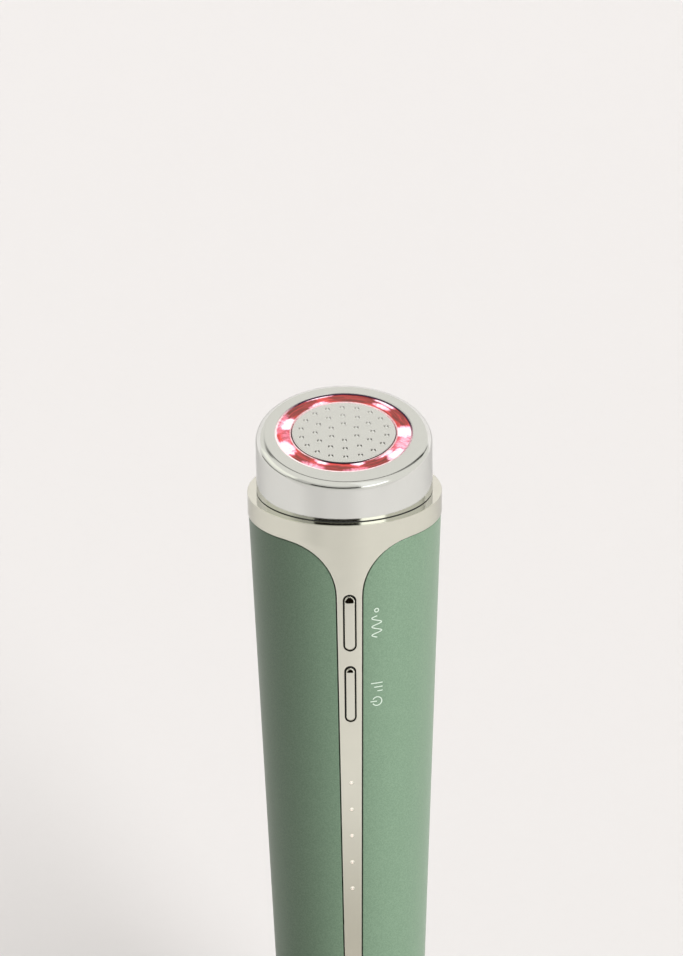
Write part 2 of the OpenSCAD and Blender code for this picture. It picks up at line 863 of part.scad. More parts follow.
module plunger(i) {
    color(pale_plastic) strip_frame() translate([0, plunger_y, key_s[i]])
        rotate([-90, 0, 0]) cylinder(h = plunger_stroke + plunger_reach, r = plunger_r);
}

module mode_plunger() { plunger(0); }

module power_plunger() { plunger(1); }

module indicator_lamps() {
    color("white") strip_frame() for (s = light_s) translate([0, 0, s])
        block(indicator.x, indicator.z, board_y - indicator.y, board_y);
}

// Clear bar behind the strip, with one pin through the strip for each light
module light_guide() {
    bar_w = 2.2;
    foot_l = 1.6;
    s0 = light_s[light_count - 1];
    s1 = light_s[0];
    bar_y = trim_t + fit;
    past = 2.5;
    color([0.95, 0.95, 0.95, 0.6]) strip_frame() {
        translate([0, 0, (s0 + s1) / 2])
            block(bar_w, s1 - s0 + 2 * past, bar_y, board_y - indicator.y - slip);
        for (s = [s0 - past + foot_l / 2, s1 + past - foot_l / 2]) translate([0, 0, s])
            block(bar_w, foot_l, bar_y, board_y);
        for (s = light_s) translate([0, 0, s]) rotate([-90, 0, 0])
            cylinder(h = bar_y + over, d = light_d);
    }
}

module board_chips() {
    chip_x = board_w / 4 + 0.9;
    chip_t = 0.9;
    middle = (light_s[0] + light_s[light_count - 1]) / 2;
    // across, along, width, length
    chips = [[-1, 7, 5, 5], [1, 7, 4, 4], [1, -5, 3, 5], [-1, -5, 2.5, 3.2]];
    color("#222222") strip_frame() for (chip = chips)
        translate([chip[0] * chip_x, 0, middle + chip[1]])
            block(chip[2], chip[3], board_y - chip_t, board_y);
}

// Tall parts on the back of the board reach through the deck into the parts bay
module on_board_back(x, s) {
    strip_frame() translate([x, board_y + board_t, s]) rotate([-90, 0, 0]) children();
}

module pulse_transformer() {
    core = [2 * parts_window_w - 1.2, 9, 9.5];
    cheek = 1.5;
    on_board_back(0, parts_s0 + 2 + core.y / 2) {
        for (level = [0, core.z - cheek]) color("#2b2b2b")
            translate([-core.x / 2, -core.y / 2, level]) cube([core.x, core.y, cheek]);
        color("#b5642a") translate([0, 0, cheek])
            cylinder(h = core.z - 2 * cheek, r = core.x / 2 - 0.2);
    }
}

module boost_inductor() {
    color("#44484c") on_board_back(-parts_window_w / 2, can_s0) cylinder(h = 5, r = can_r);
}

module storage_capacitors() {
    color("#27336b") for (step = [0, 4])
        on_board_back(parts_window_w / 2, can_s0 + step) cylinder(h = 8, r = can_r);
}

module battery() {
    terminal_h = 0.6;
    color("#7a9cc6") translate([0, battery_y, battery_z0]) {
        cylinder(h = battery_l, r = battery_d / 2);
        translate([0, 0, -terminal_h]) cylinder(h = terminal_h, r = battery_d / 4);
    }
}

// Foam block between the deck and the cell
module battery_pad() {
    pad = [12, 10];
    z = battery_z0 + battery_l - pad.y - 2;
    y0 = deck_back(z) + slip;
    color("#3c3c3c") difference() {
        translate([-pad.x / 2, y0, z]) cube([pad.x, battery_y - y0, pad.y]);
        translate([0, battery_y, z - over])
            cylinder(h = pad.y + 2 * over, r = battery_d / 2 + slip);
    }
}

// A connector housing on the board, open at one end: side is 1 for its upper end
module connector(box, mouth, side) {
    mouth_depth = 1;
    y = board_y - box.y / 2;
    difference() {
        block(box.x, box.z, board_y - box.y, board_y);
        translate([0, 0, side * box.z / 2])
            block(mouth.x, 2 * mouth_depth, y - mouth.y / 2, y + mouth.y / 2);
    }
}

module battery_socket() {
    color(pale_plastic) strip_frame() translate([0, 0, board_s0 + 0.5 + socket_box.z / 2])
        connector(socket_box, [socket_box.x - 1.2, socket_box.y - 1.4], -1);
}

module ribbon_socket() {
    color(pale_plastic) strip_frame()
        translate([
            ribbon_x + ribbon_w / 2, 0, board_s1 - socket_inset - ribbon_socket_box.z / 2
        ]) connector(ribbon_socket_box, [ribbon_w + 4 * slip, ribbon_t + 4 * slip], 1);
}

// ---------- leads ----------

module battery_leads() {
    x = 1.3;
    color("red") for (side = [-1, 1]) {
        start = [side * x, battery_y - battery_d / 4 - 1.5, battery_z0 - wire_d / 2 - slip];
        end = from_strip([side * x, board_y - socket_box.y / 2, board_s0 + 1.3]);
        through = [start.x, start.y - 10, start.z - 2.5];
        wire([start, through, [end.x, end.y, cell_bay_z0 + 12], end], wire_d);
    }
}

module electrode_lead() {
    x = -3.6;
    start = from_strip([x, board_y - wire_d / 2 - seat_gap, board_s1 - 2]);
    end = from_head([0, 0.6 - tag_l, sleeve_bottom - tag_t - wire_d / 2 - seat_gap]);
    over_edge = from_strip([x, board_y - 2.2, board_s1 + 5]);
    color("white") wire([start, over_edge, end - [1, -5, 11], end], wire_d);
}

// A flat cable in the plane across X: a strip of even thickness along a cubic curve
module flat_cable(p, x0, width, t) {
    steps = 20;
    line = [for (i = [0 : steps]) bezier(p, i / steps)];
    edge = [for (i = [0 : steps])
        let (along = unit(line[min(i + 1, steps)] - line[max(i - 1, 0)]))
        [-along.y, along.x] * t / 2];
    translate([x0, 0, 0]) rotate([90, 0, 90]) linear_extrude(width) polygon(concat(
        [for (i = [0 : steps]) line[i] + edge[i]],
        [for (i = [steps : -1 : 0]) line[i] - edge[i]]
    ));
}

module lamp_ribbon() {
    start = from_strip([0, board_y - ribbon_socket_box.y / 2, board_s1 - socket_inset - 0.9]);
    end = from_head([0, -tag_l - 2.5, lamp_board_bottom - slip]);
    color("#d8c9a0") flat_cable(
        [
            [start.y, start.z],
            [start.y - 0.5, start.z + 7],
            [end.y + 12, end.z - 14],
            [end.y, end.z]
        ],
        ribbon_x, ribbon_w, ribbon_t
    );
}

// ---------- vibration motor ----------

module motor_can() {
    color("silver") translate([0, motor_y, motor_z0]) difference() {
        cylinder(h = motor_l, r = motor_d / 2);
        translate([0, 0, motor_l - shaft_sunk - 0.5])
            cylinder(h = shaft_sunk + over, r = shaft_d / 2 + shaft_clear);
    }
}

module motor_shaft() {
    end = 0.4;
    color("gray") translate([0, motor_y, motor_z0 + motor_l - shaft_sunk])
        cylinder(h = shaft_sunk + weight_gap + weight_h + end, r = shaft_d / 2);
}

module motor_weight() {
    hub = 0.7;
    color("#8a8577") translate([0, motor_y, motor_z0 + motor_l + weight_gap]) difference() {
        cylinder(h = weight_h, r = weight_r);
        translate([0, 0, -over]) cylinder(h = weight_h + 2 * over, r = shaft_d / 2);
        translate([-far, shaft_d / 2 + hub, -over]) cube([2 * far, far, weight_h + 2 * over]);
    }
}

module motor_leads() {
    x = 1.2;
    color("blue") for (side = [-1, 1]) {
        start = [side * x, motor_y, motor_z0 - wire_d / 2 - slip];
        end_s = (motor_shelf_z0 - 4) / cos(taper_a);
        end = from_strip([side * x, board_y + board_t + wire_d / 2, end_s]);
        wire([start, start - [0, 2, 6], start - [0, 8, 4], end], wire_d);
    }
}

// ---------- charging ----------

module charge_board() {
    color(board_green) translate([-charge_board_w / 2, charge_board_y, charge_board_z0])
        cube([charge_board_w, board_t, charge_board_z1 - charge_board_z0]);
}

// The slot in the lowest bulkhead that holds the charging board
module charge_slot() {
    translate([-charge_board_w / 2 - fit, charge_board_y - fit, 0])
        cube([charge_board_w + 2 * fit, board_t + 2 * fit, charge_board_z1 + over]);
}

module usb_socket() {
    skin = 0.3;
    back = 1.2;
    tongue = [6.6, 0.7];
    color("silver") translate([0, 0, foot_proud]) difference() {
        linear_extrude(usb_l) socket_outline(0);
        translate([0, 0, -over]) linear_extrude(usb_l - back + over) socket_outline(-skin);
    }
    color("black") translate([-tongue.x / 2, -tongue.y / 2, foot_proud + over])
        cube([tongue.x, tongue.y, usb_l - over - back / 2]);
}

module charge_leads() {
    color("red") for (side = [-1, 1]) {
        start = [side * 1.5, charge_board_y - wire_d / 2 - seat_gap, charge_board_z1 - 2];
        end = from_strip([side * 3.9, board_y - wire_d / 2 - fit, board_s0 + 3]);
        through = [start.x, start.y - 9, start.z + 6];
        wire([start, through, [end.x, end.y - 1.3, cell_bay_z0], end], wire_d);
    }
}

shell();
trim();
base_cap();
foot_pad();
mode_button();
power_button();
head_cap();
centre_electrode();
lens_ring();
light_channel();
lamp_board();
treatment_lamps();
electrode_insulator();
electrode_tag();
electrode_nut();
skin_thermistor();
cap_contact();
head_base();
head_seal();
head_screws();
chassis();
main_board();
board_screws();
switch_housings();
mode_plunger();
power_plunger();
indicator_lamps();
light_guide();
board_chips();
pulse_transformer();
boost_inductor();
storage_capacitors();
battery();
battery_pad();
battery_socket();
ribbon_socket();
battery_leads();
electrode_lead();
lamp_ribbon();
motor_can();
motor_shaft();
motor_weight();
motor_leads();
charge_board();
usb_socket();
charge_leads();
base_seal();
base_screws();
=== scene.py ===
import json
import logging
from dataclasses import dataclass, field
from enum import Enum
from functools import reduce
from math import asin, atan, atan2, copysign, cos, hypot, pi, radians, sin, sqrt, tan, tau
from typing import Callable, Iterable, Sequence

import bmesh
import bpy
from mathutils import Matrix, Vector


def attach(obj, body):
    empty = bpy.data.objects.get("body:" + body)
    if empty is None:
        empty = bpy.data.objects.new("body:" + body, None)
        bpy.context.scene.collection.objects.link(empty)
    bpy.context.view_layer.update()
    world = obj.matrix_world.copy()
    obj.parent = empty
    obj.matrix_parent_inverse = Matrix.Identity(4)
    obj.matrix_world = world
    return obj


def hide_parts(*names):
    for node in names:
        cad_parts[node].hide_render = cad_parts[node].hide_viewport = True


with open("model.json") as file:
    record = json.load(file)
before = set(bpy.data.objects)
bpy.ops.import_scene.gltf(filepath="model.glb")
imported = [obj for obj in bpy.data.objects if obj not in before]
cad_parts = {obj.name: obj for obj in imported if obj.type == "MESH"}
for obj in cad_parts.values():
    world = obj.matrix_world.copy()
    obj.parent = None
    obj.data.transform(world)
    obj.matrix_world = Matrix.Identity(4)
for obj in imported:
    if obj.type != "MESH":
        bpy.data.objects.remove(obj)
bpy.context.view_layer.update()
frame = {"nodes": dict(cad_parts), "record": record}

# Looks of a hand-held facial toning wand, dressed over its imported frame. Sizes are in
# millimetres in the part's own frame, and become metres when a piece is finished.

MM = 0.001
HAIR = 0.01  # millimetres, too little to tell two places apart
LOG = logging.getLogger("toning_wand")

Colour = tuple[float, float, float]
Point = tuple[float, float]
Triple = tuple[float, float, float]
Socket = bpy.types.NodeSocket
Read = Callable[[Vector], Point]
Test = Callable[[bmesh.types.BMEdge], bool]


class Body(Enum):
    """The moving bodies of the wand."""

    HOUSING = "housing"
    MODE_KEY = "mode_key"
    POWER_KEY = "power_key"


# ---------------------------------------------------------------- shared sizes


def around(r: float, turn: float, z: float) -> Vector:
    """Point at a radius, a turn from the front to the right, and a height."""
    return Vector((r * sin(turn), -r * cos(turn), z))


def in_front(r: float, x: float, z: float) -> Vector:
    """Point on the front of a level circle, by its sideways place."""
    return Vector((x, -sqrt(r * r - x * x), z))


def framed(*columns: Vector) -> Matrix:
    """Frame whose columns are its three axes and its middle."""
    return Matrix([[column[i] for column in columns] for i in range(3)] + [[0, 0, 0, 1]])


def level_part(p: Vector) -> Vector:
    """A point's offset from the axis."""
    return Vector((p.x, p.y, 0))


@dataclass(frozen=True)
class WandSizes:
    """Sizes that more than one sub-assembly shares."""

    seam_z: float = 164.0
    body_top_r: float = 20.8
    body_base_r: float = 14.8
    collar_h: float = 4.7
    base_h: float = 5.0
    trim_proud: float = 0.195
    groove: float = 0.27
    strip_top_w: float = 5.4
    strip_base_w: float = 2.6
    flare_w: float = 10.8
    flare_h: float = 12.0
    key_drops: tuple[float, float] = (22.6, 39.5)
    key_slot_l: float = 13.2
    key_margin: float = 1.2
    light_drops: tuple[float, ...] = (61.0, 67.5, 74.0, 80.5, 87.0)
    head_r: float = 19.0
    head_h: float = 13.2
    head_tilt: float = radians(13.7)
    ring_r: float = 14.8
    electrode_r: float = 11.2

    @property
    def collar_z(self) -> float:
        """Height of the collar's lower edge."""
        return self.seam_z - self.collar_h

    @property
    def flare_z(self) -> float:
        """Height at which the strip begins to flare."""
        return self.collar_z - self.flare_h

    @property
    def head_z(self) -> float:
        """Height of the treatment face on the axis."""
        return self.seam_z + self.head_h

    @property
    def taper(self) -> float:
        """Growth of the body's radius with height."""
        return (self.body_top_r - self.body_base_r) / self.collar_z

    def body_r(self, z: float) -> float:
        """Radius of the coloured body at a height."""
        return self.body_base_r + self.taper * z

    def strip_r(self, z: float) -> float:
        """Radius of the bright trim's face at a height."""
        return self.body_r(min(z, self.collar_z)) + self.trim_proud

    def strip_half_w(self, z: float) -> float:
        """Half width of the plain strip at a height."""
        share = (z - self.base_h) / (self.flare_z - self.base_h)
        return (self.strip_base_w + (self.strip_top_w - self.strip_base_w) * share) / 2

    def edge_half_w(self, z: float) -> float:
        """Half width of the trim at a height, its flare included."""
        if z <= self.flare_z:
            return self.strip_half_w(z)
        turn = asin(min(1.0, (z - self.flare_z) / self.flare_h))
        return self.strip_half_w(self.flare_z) + self.flare_w * (1 - cos(turn))

    def edge_point(self, rise: float, grow: float = 0.0) -> Point:
        """Follows the trim's right edge upwards.

        Args:
            rise: -1 at the base cap, 0 where the flare begins, 1 at the collar.
            grow: distance by which the edge is moved away from the trim.

        Returns:
            Sideways place and height.
        """
        if rise <= 0:
            z = self.base_h + (self.flare_z - self.base_h) * (rise + 1)
            return self.strip_half_w(z) + grow, z
        turn = rise * pi / 2
        normal = Vector((self.flare_h * cos(turn), -self.flare_w * sin(turn)))
        normal = normal.normalized() * grow
        x = self.strip_half_w(self.flare_z) + self.flare_w * (1 - cos(turn))
        return x + normal.x, self.flare_z + self.flare_h * sin(turn) + normal.y

    def on_trim(self, x: float, z: float) -> Vector:
        """Point on the trim's face at a sideways place and height."""
        return in_front(self.strip_r(z), x, z)

    def on_body(self, x: float, z: float, lift: float) -> Vector:
        """Point above the coloured body's front at a sideways place and height."""
        return in_front(self.body_r(z) + lift, x, z)

    @property
    def taper_a(self) -> float:
        """Angle of the taper."""
        return atan(self.taper)

    def strip_frame(self, drop: float) -> Matrix:
        """Frame on the strip's face, a distance below the seam: X right, Y up, Z outwards."""
        z = self.seam_z - drop
        up = Vector((0, -sin(self.taper_a), cos(self.taper_a)))
        out = Vector((0, -cos(self.taper_a), -sin(self.taper_a)))
        return framed(Vector((1, 0, 0)), up, out, Vector((0, -self.strip_r(z), z)))

    @property
    def head_frame(self) -> Matrix:
        """Frame of the treatment face: its middle at the origin and Z square to it."""
        lift = Matrix.Translation((0, 0, self.head_z))
        return lift @ Matrix.Rotation(self.head_tilt, 4, "X")


# ---------------------------------------------------------------- node graphs


class Nodes:
    """A node tree, and the steps that finishes and the room are made of."""

    def __init__(self, tree: bpy.types.NodeTree) -> None:
        """Takes the tree to build in."""
        self.tree = tree
        self._place: Socket | None = None

    def add(self, kind: str, feeds: dict[int | str, object] | None = None,
            **values: object) -> bpy.types.Node:
        """Adds a node.

        Args:
            kind: Blender's name of the node type.
            feeds: a value or a socket for each input, by its name or index.
            values: plain properties of the node.

        Returns:
            The new node.
        """
        node = self.tree.nodes.new(kind)
        for name, value in values.items():
            setattr(node, name, value)
        for name, value in (feeds or {}).items():
            self.feed(node.inputs[name], value)
        return node

    def feed(self, socket: Socket, value: object) -> None:
        """Links an input to a socket, or sets its value. A colour is given its alpha."""
        if isinstance(value, Socket):
            self.tree.links.new(value, socket)
        elif isinstance(value, tuple) and len(value) < len(socket.default_value):
            socket.default_value = (*value, 1.0)
        else:
            socket.default_value = value

    def place(self) -> Socket:
        """The point on the object, in metres."""
        if self._place is None:
            self._place = self.add("ShaderNodeTexCoord").outputs["Object"]
        return self._place

    def sheet_place(self, layer: str) -> Socket:
        """The point on a piece's own flat map."""
        return self.add("ShaderNodeUVMap", uv_map=layer).outputs["UV"]

    def stretched(self, scale: Triple, source: Socket | None = None) -> Socket:
        """A point, or the one on the object, with its axes scaled."""
        return self.add("ShaderNodeMapping", {
            "Scale": scale, "Vector": source or self.place(),
        }).outputs["Vector"]

    def noise(self, scale: float, detail: float = 3.0, roughness: float = 0.5,
              point: Socket | None = None) -> Socket:
        """Cloudy values from 0 to 1 at a point, or at the one on the object."""
        return self.add("ShaderNodeTexNoise", {
            "Scale": scale, "Detail": detail, "Roughness": roughness,
            "Vector": point or self.place(),
        }).outputs["Fac"]

    def cells(self, scale: float) -> Socket:
        """One value from 0 to 1 for each small cell."""
        node = self.add("ShaderNodeTexVoronoi", {"Scale": scale, "Vector": self.place()})
        return self.add("ShaderNodeSeparateColor", {"Color": node.outputs["Color"]}).outputs["Red"]

    def span(self, value: Socket, low: float, high: float,
             first: float = 0.0, last: float = 1.0, smooth: bool = False) -> Socket:
        """Maps values from first..last to low..high, and holds them there.

        Args:
            value: the value to map.
            low: result at first.
            high: result at last.
            first: start of the range that is read.
            last: end of the range that is read.
            smooth: eases both ends.

        Returns:
            The mapped value.
        """
        return self.add("ShaderNodeMapRange", {
            "Value": value, "From Min": first, "From Max": last, "To Min": low, "To Max": high,
        }, interpolation_type="SMOOTHSTEP" if smooth else "LINEAR").outputs["Result"]

    def rise(self, value: Socket, middle: float, blur: float) -> Socket:
        """Goes softly from 0 to 1 across a value."""
        return self.span(value, 0.0, 1.0, middle - blur / 2, middle + blur / 2, smooth=True)

    def fall(self, value: Socket, middle: float, blur: float) -> Socket:
        """Goes softly from 1 to 0 across a value."""
        return self.span(value, 1.0, 0.0, middle - blur / 2, middle + blur / 2, smooth=True)

    def maths(self, operation: str, *terms: object) -> Socket:
        """One step of arithmetic on sockets or numbers."""
        return self.add("ShaderNodeMath", dict(enumerate(terms)),
                        operation=operation).outputs["Value"]

    def times(self, *factors: object) -> Socket:
        """The product of sockets and numbers."""
        return reduce(lambda a, b: self.maths("MULTIPLY", a, b), factors)

    def vectors(self, operation: str, *terms: object, result: str = "Vector") -> Socket:
        """One step of arithmetic on vectors."""
        return self.add("ShaderNodeVectorMath", dict(enumerate(terms)),
                        operation=operation).outputs[result]

    def squares(self, a: object, b: object) -> Socket:
        """The sum of two squares."""
        return self.maths("ADD", self.maths("POWER", a, 2.0), self.maths("POWER", b, 2.0))

    def blend(self, factor: Socket, a: object, b: object) -> Socket:
        """Mixes two colours or colour sockets by the share of the second one."""
        return self.add("ShaderNodeMix", {"Factor": factor, 6: a, 7: b},
                        data_type="RGBA").outputs[2]

    def bump(self, height: Socket, depth: float, strength: float = 1.0,
             under: Socket | None = None) -> Socket:
        """A normal bent by a height from 0 to 1, of a depth in metres, over another bend."""
        feeds = {"Strength": strength, "Distance": depth, "Height": height}
        if under is not None:
            feeds["Normal"] = under
        return self.add("ShaderNodeBump", feeds).outputs["Normal"]

    def split(self, point: Socket) -> bpy.types.NodeOutputs:
        """The X, Y and Z of a point."""
        return self.add("ShaderNodeSeparateXYZ", {"Vector": point}).outputs


class Graph(Nodes):
    """The node graph of one material, with a Principled shader at its end."""

    def __init__(self, name: str) -> None:
        """Starts a material with an empty graph."""
        self.material = bpy.data.materials.new(name)
        self.material.use_nodes = True
        super().__init__(self.material.node_tree)
        self.tree.nodes.clear()
        self.shader = self.add("ShaderNodeBsdfPrincipled")
        self.add("ShaderNodeOutputMaterial", {"Surface": self.shader.outputs["BSDF"]})

    def set(self, **sockets: object) -> None:
        """Sets inputs of the shader by name, with spaces written as underscores."""
        for name, value in sockets.items():
            self.feed(self.shader.inputs[name.replace("_", " ")], value)

    def base_colour(self) -> Socket:
        """What the shader's colour is linked to so far."""
        return self.shader.inputs["Base Color"].links[0].from_socket

    def mottled(self, strength: Socket) -> Socket:
        """A strength of light with a slight unevenness."""
        return self.times(strength, self.span(self.noise(1500.0, 1.0), 0.9, 1.1))


# ---------------------------------------------------------------- finishes


@dataclass(frozen=True)
class Finish:
    """A finish of one kind of surface: moulded plastic unless a kind says otherwise."""

    name: str
    colour: Colour
    shade: Colour
    roughness: float = 0.5
    grain: float = 3000.0
    depth: float = 0.00001
    cloud: float = 90.0
    sheen: float = 0.06

    def paint(self, graph: Graph) -> None:
        """Fine spark texture with a slight cloudiness."""
        cloud = graph.noise(self.cloud)
        grain = graph.noise(self.grain, 2.0)
        graph.set(
            Base_Color=graph.blend(cloud, self.colour, self.shade),
            Roughness=graph.span(grain, self.roughness - self.sheen, self.roughness + self.sheen),
            Normal=graph.bump(grain, self.depth, 0.6),
        )

    def material(self) -> bpy.types.Material:
        """The finish as a Blender material, made once."""
        known = bpy.data.materials.get(self.name)
        if known is None:
            graph = Graph(self.name)
            self.paint(graph)
            known = graph.material
        return known


@dataclass(frozen=True)
class Lacquer(Finish):
    """Satin metallic lacquer: fine flakes under a soft clear coat."""

    flake: float = 5200.0
    patch: float = 900.0
    peel: float = 420.0
    metal: float = 0.45
    coat: Point = (0.18, 0.32)

    def paint(self, graph: Graph) -> None:
        """Flakes of two shades, a faint orange peel and a soft coat."""
        flakes = graph.span(graph.cells(self.flake), 0.0, 1.0, 0.15, 0.85)
        patches = graph.noise(self.patch, 4.0, 0.6)
        mixed = graph.times(flakes, graph.span(patches, 0.4, 1.0))
        peel = graph.noise(self.peel, 2.0)
        fine = graph.bump(flakes, 0.000002, 0.25)
        graph.set(
            Base_Color=graph.blend(mixed, self.colour, self.shade),
            Metallic=self.metal,
            Roughness=graph.span(patches, self.roughness - 0.04, self.roughness + 0.04),
            Normal=graph.bump(peel, 0.000004, 0.15, fine),
            Coat_Weight=self.coat[0],
            Coat_Roughness=self.coat[1],
        )


@dataclass(frozen=True)
class Plated(Finish):
    """Plated metal: bright, with a soft haze and faint handling marks."""

    wave: float = 60.0
    wave_depth: float = 0.000004
    pull: Triple = (1.0, 1.0, 1.0)
    edge_tint: float = 0.7
    haze: float = 260.0
    haze_sheen: float = 0.015

    def paint(self, graph: Graph) -> None:
        """Slow waves of the plating over a fine drawn grain."""
        wave = graph.noise(self.wave, 1.0, 0.3)
        grain = graph.noise(self.grain, 3.0, 0.6, graph.stretched(self.pull))
        haze = graph.noise(self.haze, 3.0, 0.6)
        slow = graph.bump(wave, self.wave_depth, 0.3)
        graph.set(
            Base_Color=graph.blend(haze, self.colour, self.shade),
            Metallic=1.0,
            Specular_Tint=(self.edge_tint,) * 3,
            Roughness=graph.span(haze, self.roughness - self.haze_sheen,
                                 self.roughness + self.haze_sheen, 0.3, 0.7),
            Normal=graph.bump(grain, self.depth, 0.3, slow),
        )


@dataclass(frozen=True)
class PaintedReflectionPlating(Plated):
    """Plating on small bumps, each with a painted dark reflection on either side of its crown."""

    layer: str = "on_bump"
    # Colour of the painted reflections beside each crown.
    dot: Colour = (0.05, 0.046, 0.035)
    dot_out: float = 0.54
    dot_low: float = 0.24
    dot_half: float = 0.31
    dot_shape: float = 0.8
    dot_cover: float = 0.92
    dot_blur: Point = (0.3, 1.7)
    fade_y: Point = (-0.007, 0.005)

    def paint(self, graph: Graph) -> None:
        """The plating, then the two painted reflection dots over its colour, weaker towards the
        back.
        """
        super().paint(graph)
        axes = graph.split(graph.sheet_place(self.layer))
        out = graph.maths("SUBTRACT", graph.maths("ABSOLUTE", axes["X"]), self.dot_out)
        along = graph.times(graph.maths("ADD", axes["Y"], self.dot_low), self.dot_shape)
        edges = (self.dot_half ** 2 * share for share in self.dot_blur)
        reflection_mark = graph.span(graph.squares(out, along), self.dot_cover, 0.0, *edges, smooth=True)
        fade = graph.span(graph.split(graph.place())["Y"], 1.0, 0.5, *self.fade_y)
        graph.set(Base_Color=graph.blend(graph.times(reflection_mark, fade), graph.base_colour(), self.dot))


@dataclass(frozen=True)
class Glint:
    """A painted bright or dark place on the lit ring.

    Turn and half_turn are degrees round the ring, across and half_across shares of its width.
    """

    turn: float
    across: float
    half_turn: float
    half_across: float
    strength: float = 1.0


@dataclass(frozen=True)
class LitRing(Finish):
    """Clear red plastic over mirrors and lamps, whose light is painted on it as glow: painted hot
    places, painted dark places and streaks.
    """

    layer: str = "round_and_across"
    deep: Colour = (0.33, 0.022, 0.02)
    maroon: Colour = (0.085, 0.02, 0.014)
    pink: Colour = (1.0, 0.34, 0.50)
    white: Colour = (1.25, 1.15, 1.25)
    warp: Triple = (26.0, 4.5, 1.0)
    bend: Triple = (0.022, 0.34, 0.0)
    streak: Triple = (11.0, 9.0, 1.0)
    ray: Triple = (130.0, 1.4, 1.0)
    rays_from: Point = (0.02, 0.45)
    streak_edges: Point = (0.37, 0.57)
    ray_gain: Point = (0.55, 1.25)
    ray_edges: Point = (0.36, 0.64)
    dark_gain: Point = (1.0, 0.45)
    dark_edges: Point = (0.40, 0.64)
    pink_from: Point = (0.06, 0.50)
    white_from: Point = (0.34, 1.08)
    dark_from: Point = (0.05, 0.75)
    spot_end: float = 2.7
    gloss: float = 0.32
    hot: tuple[Glint, ...] = ()
    dim: tuple[Glint, ...] = ()

    def field(self, graph: Graph, where: Socket, places: Iterable[Glint]) -> Socket:
        """Adds up the soft spots of some places.

        Args:
            graph: the graph to build in.
            where: the point on the ring's map.
            places: the places.

        Returns:
            Their strength at the point.
        """
        axes = graph.split(where)
        total = graph.maths("ADD", 0.0, 0.0)
        for place in places:
            off = graph.maths("SUBTRACT", axes["X"], place.turn / 360)
            off = graph.maths("SUBTRACT", off, graph.maths("ROUND", off))
            round_by = graph.maths("DIVIDE", off, place.half_turn / 360)
            across_by = graph.maths("DIVIDE", graph.maths("SUBTRACT", axes["Y"], place.across),
                                    place.half_across)
            spot = graph.span(graph.squares(round_by, across_by), 1.0, 0.0, 0.0, self.spot_end,
                              smooth=True)
            total = graph.maths("ADD", graph.times(spot, place.strength), total)
        return total

    def paint(self, graph: Graph) -> None:
        """Streaked red with painted dark places, then the lamps' glow painted over it."""
        where = graph.sheet_place(self.layer)
        shift = graph.add("ShaderNodeTexNoise", {
            "Scale": 1.0, "Detail": 3.0, "Vector": graph.stretched(self.warp, where)})
        centred = graph.vectors("SUBTRACT", shift.outputs["Color"], (0.5, 0.5, 0.5))
        bent = graph.vectors("ADD", where, graph.vectors("MULTIPLY", centred, self.bend))
        along = graph.noise(1.0, 4.0, 0.65, graph.stretched(self.streak, bent))
        rays = graph.noise(1.0, 3.0, 0.6, graph.stretched(self.ray, bent))
        heat = self.field(graph, bent, self.hot)
        dark = self.field(graph, bent, self.dim)
        near = graph.span(heat, 0.0, 1.0, *self.rays_from)
        lines = graph.add("ShaderNodeMix", {0: near, 2: along, 3: rays},
                          data_type="FLOAT").outputs[0]
        streaks = graph.span(lines, 0.0, 1.0, *self.streak_edges)
        red = graph.blend(streaks, self.deep, self.colour)
        # Painted shade: the dim places darken the red towards maroon.
        painted_dark = graph.times(graph.span(dark, 0.0, 1.0, *self.dark_from),
                           graph.span(lines, *self.dark_gain, *self.dark_edges))
        red = graph.blend(painted_dark, red, self.maroon)
        # Painted light: the hot places, broken by rays, turn the glow pink and then white.
        heat = graph.times(heat, graph.span(rays, *self.ray_gain, *self.ray_edges))
        rosy = graph.blend(graph.span(heat, 0.0, 1.0, *self.pink_from), red, self.pink)
        lit = graph.blend(graph.span(heat, 0.0, 1.0, *self.white_from), rosy, self.white)
        graph.set(
            Base_Color=graph.blend(streaks, self.maroon, self.shade),
            Roughness=self.roughness,
            Specular_IOR_Level=self.gloss,
            Emission_Color=lit,
            Emission_Strength=1.0,
            Normal=graph.bump(lines, self.depth, 0.5),
        )


@dataclass(frozen=True)
class Glow(Finish):
    """A small lit lens: brightest in its middle."""

    strength: float = 4.0
    edge_share: float = 0.3
    facing: float = 0.35

    def paint(self, graph: Graph) -> None:
        """Light that falls off towards the silhouette."""
        edge = graph.add("ShaderNodeLayerWeight", {"Blend": self.facing}).outputs["Facing"]
        graph.set(
            Base_Color=self.shade,
            Roughness=self.roughness,
            Emission_Color=graph.blend(edge, self.colour, self.shade),
            Emission_Strength=graph.mottled(
                graph.span(edge, self.strength, self.strength * self.edge_share)),
        )


@dataclass(frozen=True)
class LitPlug(Plated):
    """A bright plug with a soft light in its middle."""

    layer: str = "on_pin"
    glow: Colour = (1.0, 0.74, 0.72)
    power: float = 0.6
    edge_share: float = 0.22

    def paint(self, graph: Graph) -> None:
        """The plating, then a glow that fades out at the plug's edge."""
        super().paint(graph)
        axes = graph.split(graph.sheet_place(self.layer))
        reach = graph.squares(axes["X"], axes["Y"])
        light = graph.span(reach, self.power, self.power * self.edge_share)
        graph.set(Emission_Color=graph.blend(reach, self.glow, self.colour),
                  Emission_Strength=graph.mottled(light))


@dataclass(frozen=True)
class Print(Finish):
    """Screen-printed ink with a slightly uneven edge and body."""

    cover: float = 2600.0
    cover_edges: Point = (0.45, 0.75)
    sheens: Point = (0.45, 0.6)

    def paint(self, graph: Graph) -> None:
        """Ink of uneven cover."""
        cover = graph.noise(self.cover, 3.0, 0.6)
        thin = graph.span(cover, 0.0, 1.0, *self.cover_edges)
        graph.set(
            Base_Color=graph.blend(thin, self.colour, self.shade),
            Roughness=graph.span(cover, *self.sheens),
            Normal=graph.bump(cover, 0.000003, 0.5),
        )


